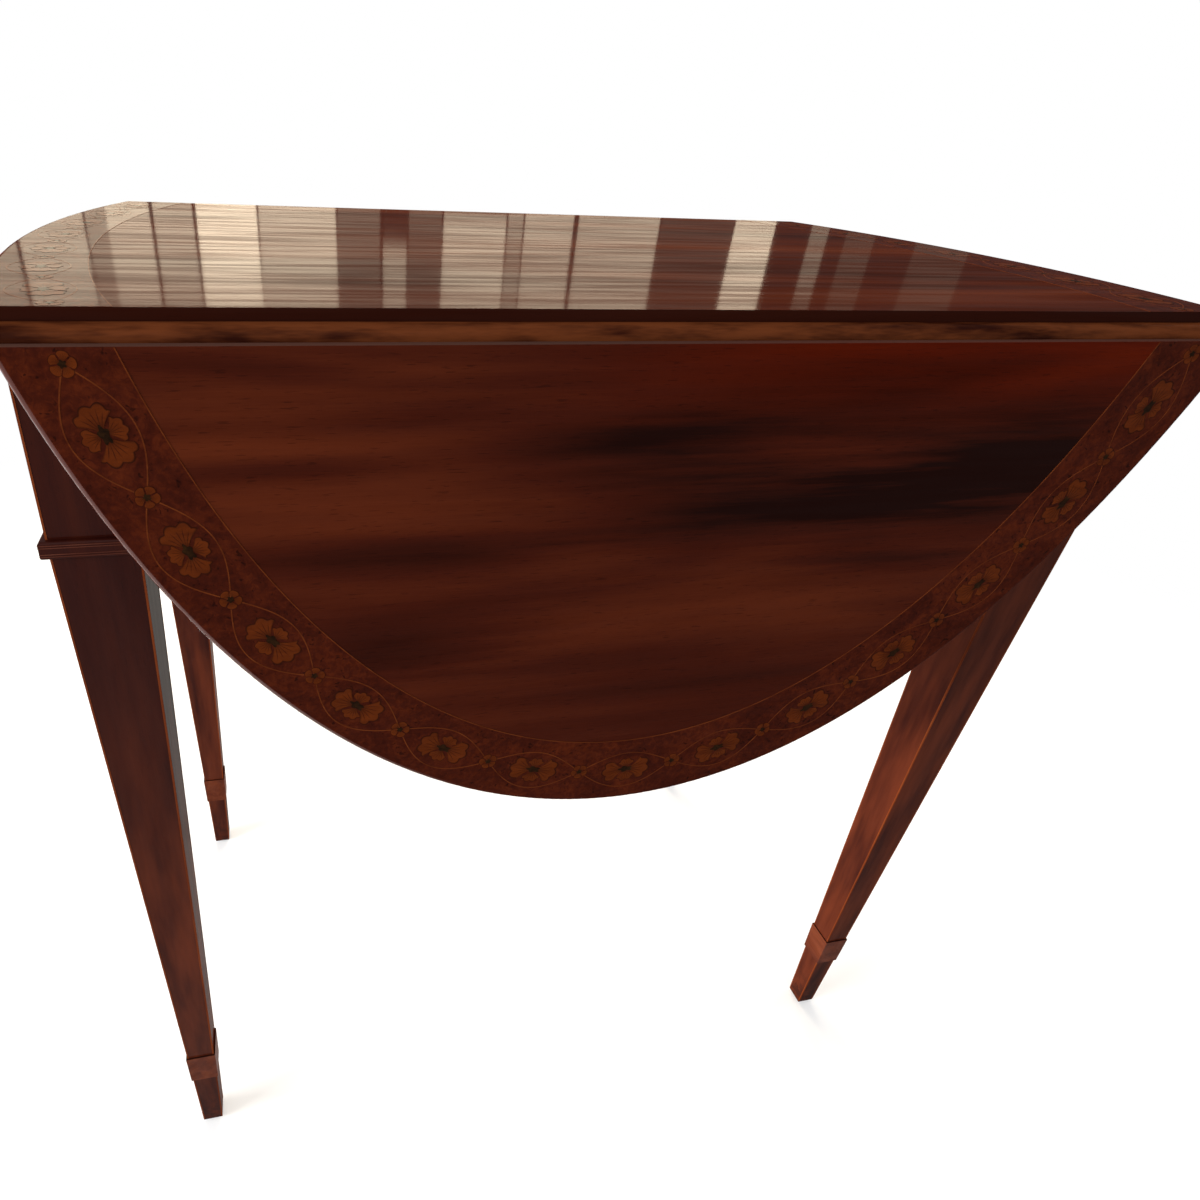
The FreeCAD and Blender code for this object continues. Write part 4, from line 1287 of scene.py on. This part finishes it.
    def build(self, run: BorderRun, seed: int) -> None:
        """Lays one stretch of the border.

        Args:
            run: stretch of the border.
            seed: start of the draws that make the cut flowers uneven.
        """
        draw = np.random.default_rng(seed)
        inner = self.width
        self.lay("border_band", run, "burr", self.strip(run, (self.edge_round, inner), self.band_rise))
        string = self.strip(run, (inner, inner + self.string_width), self.string_rise)
        self.lay("border_string", run, "string", string)
        self.lay("loop_strings", run, "string", self.loop_strings(run))
        large = np.arange(run.loops) + 0.5
        turn = draw.uniform(-self.flower_turn, self.flower_turn, (len(large), 1))
        petals = len(LARGE_FLOWER.lengths)
        turn = turn + draw.uniform(-self.petal_turn, self.petal_turn, (len(large), petals))
        self.lay_petals(run, LARGE_FLOWER, large, turn, draw)
        small = np.arange(run.loops + 1).astype(float)
        turn = draw.uniform(0.0, math.tau / len(SMALL_FLOWER.lengths), (len(small), 1))
        self.lay_petals(run, SMALL_FLOWER, small, turn, draw)
        for kind, steps in ((LARGE_FLOWER, large), (SMALL_FLOWER, small)):
            self.lay(f"{kind.label}_flower_eyes", run, "eye", self.eyes(run, kind, steps))


# Legs

SQUARE = np.array([(-1, -1), (1, -1), (1, 1), (-1, 1)], float)


@dataclass
class StrungLeg:
    """Corner strings of one square tapered leg, and the lines round its knee collar."""

    corner: str
    string: bpy.types.Material
    line: bpy.types.Material
    toe_half: float = 8.0 * MM
    toe_clear: float = 4.0 * MM
    band_projection: float = 1.2 * MM
    string_width: float = 1.0 * MM
    proud: float = 0.12 * MM
    line_height: float = 0.45 * MM
    line_drops: tuple[float, float] = (1.9 * MM, 3.2 * MM)

    def half_width(self, z: float) -> float:
        """Half width of the leg at a height: straight block, long taper, short taper."""
        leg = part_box(f"leg_{self.corner}")
        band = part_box(f"ankle_band_{self.corner}")
        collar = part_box(f"knee_collar_{self.corner}")
        block = (leg[1].x - leg[0].x) / 2
        ankle = (band[1].x - band[0].x) / 2 - self.band_projection
        return float(np.interp(z, [0.0, band[1].z, collar[0].z], [self.toe_half, ankle, block]))

    def arris_strings(self, low: float, high: float, arrises: np.ndarray) -> Mesh:
        """Square strings let into the arrises: a square profile carried straight from one height to another.

        Args:
            low: lower height.
            high: upper height.
            arrises: signs of x and y of each arris.

        Returns:
            Points and quads.
        """
        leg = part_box(f"leg_{self.corner}")
        middle = np.array([(leg[0].x + leg[1].x) / 2, (leg[0].y + leg[1].y) / 2])
        heights = np.array([low, high])
        half = np.array([self.half_width(low), self.half_width(high)])
        reach = np.stack([half + self.proud, half - self.string_width], axis=-1)
        corners = reach[None, :, None, :, None] * np.ones((len(arrises), 1, 2, 1, 2))
        side = reach[None, :, :, None, None] * np.ones((len(arrises), 1, 1, 2, 1))
        level = np.concatenate([corners[..., :1], side], axis=-1) * arrises[:, None, None, None, :] + middle
        tall = np.broadcast_to(heights[None, :, None, None, None], (*level.shape[:-1], 1))
        solid = np.concatenate([level, tall], axis=-1)
        return slab(solid[:, :, :, 0, :], solid[:, :, :, 1, :])

    def collar_lines(self) -> Mesh:
        """Thin lines round the collar: a square path with a small square profile.

        Returns:
            Points and quads.
        """
        low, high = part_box(f"knee_collar_{self.corner}")
        middle = np.array([(low.x + high.x) / 2, (low.y + high.y) / 2])
        half = (high.x - low.x) / 2
        drops = np.array(self.line_drops)
        levels = np.concatenate([low.z + drops, high.z - drops])
        reach = half + np.array([self.proud, self.proud, -self.string_width / 2, -self.string_width / 2])
        rise = np.array([-0.5, 0.5, 0.5, -0.5]) * self.line_height
        level = SQUARE[None, :, None, :] * reach[None, None, :, None] + middle
        level = np.broadcast_to(level, (len(levels), 4, 4, 2))
        tall = np.broadcast_to(levels[:, None, None] + rise[None, None, :], (len(levels), 4, 4))
        return tubes(np.concatenate([level, tall[..., None]], axis=-1))

    def build(self) -> None:
        """Makes the strings above and below the collar, those of the toe, and the collar's lines."""
        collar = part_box(f"knee_collar_{self.corner}")
        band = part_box(f"ankle_band_{self.corner}")
        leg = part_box(f"leg_{self.corner}")
        out = np.sign([leg[0].x + leg[1].x, leg[0].y + leg[1].y])
        showing = SQUARE[np.any(SQUARE == out, axis=1)]
        stretches = (("shaft", band[1].z, collar[0].z, SQUARE),
                     ("block", collar[1].z, leg[1].z - self.proud, showing),
                     ("toe", self.toe_clear, band[0].z, SQUARE))
        for label, low, high, arrises in stretches:
            lay_piece(f"leg_{label}_strings_{self.corner}", self.arris_strings(low, high, arrises), "frame",
                      self.string)
        lay_piece(f"collar_lines_{self.corner}", self.collar_lines(), "frame", self.line)


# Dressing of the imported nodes

MAHOGANY: dict[str, Any] = dict(pore=(24, 7, 5), streaks=15.0, run=0.11, waver=0.7, ribbon=0.4, fibre=0.3,
                                open_pores=0.35, gloss=0.2, haze=0.1)
LEAF_TONES: dict[str, Colour] = dict(dark=(30, 10, 7), middle=(67, 24, 13), light=(102, 44, 22))
NEAR_LEAF_STREAKS = (
    SmokeStreak(-0.155, 0.603, 0.105, 0.012, 0.0, 0.46),
    SmokeStreak(-0.160, 0.549, 0.080, 0.019, 0.05, 0.46),
    SmokeStreak(-0.035, 0.658, 0.095, 0.014, 0.02, 0.42),
    SmokeStreak(0.020, 0.641, 0.120, 0.009, 0.02, 0.34),
    SmokeStreak(0.080, 0.620, 0.150, 0.018, 0.02, 0.56),
    SmokeStreak(0.200, 0.645, 0.110, 0.023, 0.13, 0.48),
    SmokeStreak(0.150, 0.674, 0.170, 0.030, 0.06, 0.32),
    SmokeStreak(-0.215, 0.650, 0.080, 0.007, 0.0, 0.28),
    SmokeStreak(-0.150, 0.673, 0.070, 0.007, 0.05, 0.24),
    SmokeStreak(-0.215, 0.697, 0.065, 0.007, -0.1, 0.26),
    SmokeStreak(0.130, 0.583, 0.070, 0.009, 0.02, 0.24),
    SmokeStreak(0.000, 0.520, 0.110, 0.018, 0.0, 0.20),
    SmokeStreak(0.185, 0.585, 0.100, 0.050, 0.0, 0.26),
    SmokeStreak(-0.205, 0.640, 0.130, 0.085, 0.0, -0.36),
    SmokeStreak(0.205, 0.690, 0.080, 0.009, 0.15, -0.26),
    SmokeStreak(-0.065, 0.605, 0.055, 0.030, 0.0, -0.14),
)
TOP_BOARD = MouldedTop("top_mahogany", (48, 17, 9), (74, 28, 13), (98, 42, 18), coat=0.026, thin=0.55,
                       **MAHOGANY)
NEAR_LEAF = LeafBoard("near_leaf_mahogany", streaks_on_leaf=NEAR_LEAF_STREAKS, coat=0.035, **LEAF_TONES,
                      **MAHOGANY)
FAR_LEAF = LeafBoard("far_leaf_mahogany", plain_share=1.0, coat=0.035, **LEAF_TONES, **MAHOGANY)
LEG_MAHOGANY = TaperedLegWood("leg_mahogany", (34, 10, 8), (50, 17, 12), (66, 26, 16), (28, 10, 8),
                              streaks=26.0, run=0.14, waver=0.5, ribbon=0.5, fibre=0.3, open_pores=0.3,
                              gloss=0.24, haze=0.12, coat=0.12, thin=0.12)
# Right legs: the painted light reaches further up, standing in for the light on their left faces
LIT_LEG_MAHOGANY = replace(LEG_MAHOGANY, name="warm_leg_mahogany", painted_light_from=560.0 * MM, warm_to=800.0 * MM,
                            coat=0.08)
FRAME_MAHOGANY = WoodFinish("frame_mahogany", (44, 17, 12), (76, 32, 18), (104, 50, 26), (34, 14, 10),
                            streaks=24.0, gloss=0.26, haze=0.15, coat=0.15)
SATINWOOD = AnkleBandWood("satinwood", (74, 30, 17), (96, 42, 23), (116, 56, 31), (66, 30, 16), streaks=70.0,
                          run=0.2, ribbon=0.6, open_pores=0.2, gloss=0.16)
STRINGS: dict[str, Any] = dict(run=0.1, ribbon=0.4, fibre=0.3, open_pores=0.1, gloss=0.2, coat=0.03)
BOXWOOD = WoodFinish("boxwood", (92, 39, 19), (116, 53, 26), (134, 67, 33), (80, 36, 18), streaks=120.0,
                     **STRINGS)
LOOP_BOXWOOD = WoodFinish("loop_boxwood", (78, 33, 15), (95, 43, 19), (112, 54, 24), (70, 32, 15),
                          streaks=140.0, **STRINGS)
COLLAR_BOXWOOD = WoodFinish("collar_boxwood", (74, 37, 28), (92, 50, 38), (110, 64, 50), (64, 34, 26),
                            streaks=140.0, **STRINGS)
PLAIN: dict[str, Any] = dict(haze=0.15, coat=0.0, shine=0.06)
BEECH = WoodFinish("beech", (112, 72, 44), (142, 96, 60), (164, 118, 78), (90, 58, 36), streaks=30.0,
                   run=0.1, waver=0.3, ribbon=0.5, open_pores=0.7, gloss=0.45, **PLAIN)
PINE = WoodFinish("pine", (132, 88, 48), (172, 126, 76), (192, 150, 98), (120, 74, 38), streaks=40.0,
                  run=0.06, waver=0.4, ribbon=0.9, open_pores=0.1, gloss=0.5, **PLAIN)
OAK = WoodFinish("oak", (104, 72, 42), (140, 102, 62), (164, 126, 82), (78, 52, 30), streaks=46.0,
                 run=0.07, waver=0.3, ribbon=0.8, open_pores=0.9, gloss=0.45, **PLAIN)
BURR = BurrFinish("burr_veneer", (44, 14, 9), (67, 24, 13), (92, 37, 17), (28, 9, 6))
PETAL = PetalFinish("petal_veneer", (80, 33, 12), (102, 45, 16), (38, 15, 9))
FLOWER_EYE = WoodFinish("flower_eye", (26, 15, 8), (38, 22, 11), (52, 32, 15), (20, 11, 7), streaks=300.0,
                        run=0.8, gloss=0.2, coat=0.03)
METALS = {
    "brass": MetalFinish("brass", (206, 164, 84), (126, 88, 40), 120.0, 0.2, 0.08),
    "iron": MetalFinish("iron", (84, 78, 74), (62, 44, 34), 140.0, 0.42, 0.4),
    "steel": MetalFinish("steel", (146, 144, 140), (92, 80, 70), 200.0, 0.32, 0.2),
}


@dataclass
class Carcase:
    """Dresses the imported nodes: the finish follows the node's slot, the grain its place in the table."""

    nodes: dict[str, bpy.types.Object]
    oval: OvalBoard
    crosswise: tuple[str, ...] = ("drawer_rail", "end_apron", "drawer_front", "drawer_back",
                                  "drawer_cockbead", "ankle_band", "drawer_bottom")
    upright: tuple[str, ...] = ("leg_", "knee_collar")

    def wood(self, name: str, slot: str) -> bpy.types.Material:
        """Wood finish of a node.

        Args:
            name: the node.
            slot: its slot in the record.

        Returns:
            The material.
        """
        boards = {"top_panel": (replace(TOP_BOARD, edge_y=self.oval.hinge_y), BareFace.UNDERSIDE),
                  "leaf_near": (replace(NEAR_LEAF, oval=self.oval), BareFace.INNER),
                  "leaf_far": (replace(FAR_LEAF, oval=self.oval), BareFace.INNER)}
        if name in boards:
            finish, face = boards[name]
            distance = min(abs(corner[face.value]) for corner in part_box(name))
            return finish.dress(GrainAxis.ALONG_X, (face, distance))
        if name.startswith(self.upright):
            # The right legs take the wood with painted light further up
            leg = LIT_LEG_MAHOGANY if name.endswith("right") else LEG_MAHOGANY
            return leg.dress(GrainAxis.UPRIGHT)
        woods = {"mahogany": FRAME_MAHOGANY, "satinwood": replace(SATINWOOD, ledge_z=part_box(name)[1].z),
                 "beech": BEECH, "pine": PINE, "oak": OAK}
        axis = GrainAxis.ALONG_Y if name.startswith(self.crosswise) else GrainAxis.ALONG_X
        return woods[slot].dress(axis)

    def build(self) -> None:
        """Gives every node its material."""
        metals = {slot: finish.dress() for slot, finish in METALS.items()}
        for name, node in sorted(self.nodes.items()):
            slot = node.data.materials[0].name.split(".")[0]
            material = metals[slot] if slot in metals else self.wood(name, slot)
            node.data.materials.clear()
            node.data.materials.append(material)
            LOG.info("%s: %s", name, material.name)


# Studio

@dataclass(frozen=True)
class Lamp:
    """Soft oblong lamp: its place, its aim, its width and height in metres, its watts and tint."""

    name: str
    place: Point
    aim: Point
    size: tuple[float, float]
    watts: float
    tint: Point = (1.0, 1.0, 1.0)

    def hang(self) -> None:
        """Hangs the lamp, out of the camera's sight."""
        data = bpy.data.lights.new(self.name, "AREA")
        data.shape = "RECTANGLE"
        data.size, data.size_y = self.size
        data.energy = self.watts
        data.color = self.tint
        lamp = bpy.data.objects.new(self.name, data)
        lamp.location = self.place
        lamp.rotation_euler = (Vector(self.aim) - Vector(self.place)).to_track_quat("-Z", "Y").to_euler()
        lamp.visible_camera = False
        bpy.context.scene.collection.objects.link(lamp)


@dataclass(frozen=True)
class StripLamp:
    """Narrow upright lamp that shows in the polish of the top.

    Its bearing and half width are in degrees about the eye; its middle and height are in metres.
    """

    bearing: float
    half_width: float
    radiance: float
    middle: float = 1.12
    height: float = 0.46


@dataclass
class Studio:
    """Pale floor, soft light and a camera at the photograph's angle."""

    eye: Point = (-0.21355, -0.56502, 0.79191)
    yaw: float = -0.2391
    pitch: float = 0.5328
    roll: float = 0.0549
    lens: float = 23.553
    shift: tuple[float, float] = (0.1306, -0.0137)
    floor_half: float = 40.0
    ambient: float = 0.45
    table_top: float = 0.72
    lamps: tuple[Lamp, ...] = (
        Lamp("key", (-2.6, -0.55, 0.75), (0.0, -0.1, 0.4), (1.3, 1.3), 130.0),
        Lamp("front", (-0.3, -2.6, 2.2), (0.0, -0.1, 0.4), (2.0, 2.0), 14.0),
        Lamp("back", (0.6, 2.3, 2.6), (0.0, 0.0, 0.5), (2.0, 2.0), 20.0),
        Lamp("fill", (2.7, 0.3, 1.5), (0.0, 0.0, 0.5), (1.6, 1.6), 18.0),
    )
    strips: tuple[StripLamp, ...] = (
        StripLamp(-16.2, 1.9, 24.0), StripLamp(-12.2, 1.9, 33.0), StripLamp(-9.6, 0.6, 22.0),
        StripLamp(-7.7, 1.3, 42.0), StripLamp(-5.0, 1.2, 36.0), StripLamp(-1.7, 1.9, 75.0),
        StripLamp(2.8, 2.5, 42.0), StripLamp(6.8, 1.4, 9.0), StripLamp(9.2, 0.8, 27.0, 1.24, 0.30),
        StripLamp(11.2, 1.1, 7.0), StripLamp(14.5, 2.1, 38.0, 1.16, 0.38), StripLamp(17.2, 0.5, 20.0),
        StripLamp(19.4, 1.6, 30.0), StripLamp(23.9, 2.6, 27.0), StripLamp(28.8, 2.2, 2.5),
        StripLamp(32.3, 1.2, 45.0), StripLamp(36.1, 0.5, 10.0, 1.05, 0.30),
        StripLamp(38.4, 0.8, 3.0, 1.1, 0.34), StripLamp(42.8, 1.4, 2.0),
    )
    strip_distance: float = 3.4
    strip_tint: Point = (1.0, 0.83, 0.60)
    floor_grey: tuple[float, ...] = (0.22, 0.21, 0.20, 1.0)
    floor_white: tuple[float, ...] = (0.96, 0.96, 0.96, 1.0)
    floor_roughness: float = 0.9
    glow_from: float = 0.8
    glow_to: float = 1.7
    least_glow: float = 0.35

    def camera(self) -> None:
        """Stands the camera: turned about the upright, tipped down, then rolled about its line of sight."""
        data = bpy.data.cameras.new("camera")
        data.sensor_width = 36.0
        data.lens = self.lens
        data.shift_x, data.shift_y = self.shift
        data.clip_start = 0.01
        camera = bpy.data.objects.new("camera", data)
        turn = (Matrix.Rotation(self.yaw, 4, "Z") @ Matrix.Rotation(math.pi / 2 - self.pitch, 4, "X")
                @ Matrix.Rotation(self.roll, 4, "Z"))
        camera.matrix_world = Matrix.Translation(Vector(self.eye)) @ turn
        bpy.context.scene.collection.objects.link(camera)
        bpy.context.scene.camera = camera

    def hang_strips(self) -> None:
        """Stands the strip lamps in a ring about the eye; the top mirrors each of them along its bearing."""
        for number, strip in enumerate(self.strips):
            turn = math.radians(strip.bearing)
            place = (self.eye[0] + self.strip_distance * math.sin(turn),
                     self.eye[1] + self.strip_distance * math.cos(turn), strip.middle)
            width = 2.0 * self.strip_distance * math.tan(math.radians(strip.half_width))
            watts = strip.radiance * math.pi * width * strip.height
            Lamp(f"strip_{number}", place, (0.0, 0.0, self.table_top), (width, strip.height), watts,
                 self.strip_tint).hang()

    def seen(self, canvas: NodeCanvas) -> Socket:
        """1 for rays that show the background: the camera's own, and those by way of gloss or glass."""
        path = canvas.add("ShaderNodeLightPath")
        mirrored = canvas.math("MAXIMUM", path.outputs["Is Glossy Ray"], path.outputs["Is Transmission Ray"])
        return canvas.math("MAXIMUM", path.outputs["Is Camera Ray"], mirrored)

    def world(self) -> None:
        """White behind the object, and an even light on it."""
        world = bpy.data.worlds.new("studio")
        world.use_nodes = True
        bpy.context.scene.world = world
        canvas = NodeCanvas(world.node_tree)
        background = next(node for node in world.node_tree.nodes if node.type == "BACKGROUND")
        even = (self.ambient, self.ambient, self.ambient, 1.0)
        canvas.feed(background.inputs["Color"], canvas.mix(self.seen(canvas), even, (1.0, 1.0, 1.0, 1.0)))

    def floor(self) -> None:
        """Lays the floor: white where it is seen, with the object's shadow on it, and clear from below."""
        points = np.array([(-1, -1, 0), (1, -1, 0), (1, 1, 0), (-1, 1, 0)], float) * self.floor_half
        data = bpy.data.meshes.new("floor")
        data.from_pydata(points.tolist(), [], [(0, 1, 2, 3)])
        floor = bpy.data.objects.new("floor", data)
        bpy.context.scene.collection.objects.link(floor)
        material, canvas, shader = fresh_material("studio_floor")
        output = next(node for node in material.node_tree.nodes if node.type == "OUTPUT_MATERIAL")
        shader.inputs["Roughness"].default_value = self.floor_roughness
        shader.inputs["Base Color"].default_value = self.floor_grey
        white = canvas.add("ShaderNodeBsdfDiffuse")
        white.inputs["Color"].default_value = self.floor_white
        glow = canvas.add("ShaderNodeEmission")
        place = canvas.add("ShaderNodeTexCoord").outputs["Object"]
        x, y, _ = canvas.split(place)
        radius = canvas.math("SQRT", canvas.math("ADD", canvas.times(x, x), canvas.times(y, y)))
        far = canvas.times(canvas.smooth(radius, self.glow_from, self.glow_to), 1.0 - self.least_glow)
        bare = canvas.math("ADD", far, self.least_glow)
        shown = canvas.mix_shaders(bare, white.outputs[0], glow.outputs[0])
        above = canvas.mix_shaders(self.seen(canvas), shader.outputs[0], shown)
        clear = canvas.add("ShaderNodeBsdfTransparent")
        back = canvas.add("ShaderNodeNewGeometry").outputs["Backfacing"]
        canvas.feed(output.inputs["Surface"], canvas.mix_shaders(back, above, clear.outputs[0]))
        data.materials.append(material)

    def build(self) -> None:
        """Sets up the whole studio."""
        bpy.context.scene.view_settings.view_transform = "Standard"
        self.camera()
        for lamp in self.lamps:
            lamp.hang()
        self.hang_strips()
        self.world()
        self.floor()


def main() -> None:
    """Loads the frame, dresses it, lays the border and strings, and sets up the studio."""
    logging.basicConfig(level=logging.INFO, format="%(message)s")
    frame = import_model()
    oval = OvalBoard.from_frame(frame)
    Carcase(frame["nodes"], oval).build()
    finishes = {"string": LOOP_BOXWOOD.dress(GrainAxis.ALONG_X), "burr": BURR.dress(),
                "petal": PETAL.dress(), "eye": FLOWER_EYE.dress(GrainAxis.ALONG_X)}
    border = InlaidBorder(oval, finishes)
    for seed, run in enumerate(border.runs()):
        border.build(run, seed)
    for corner in ("near_left", "near_right", "far_left", "far_right"):
        StrungLeg(corner, BOXWOOD.dress(GrainAxis.UPRIGHT), COLLAR_BOXWOOD.dress(GrainAxis.ALONG_X)).build()
    Studio(table_top=oval.face_z).build()


if __name__ == "__main__":
    main()
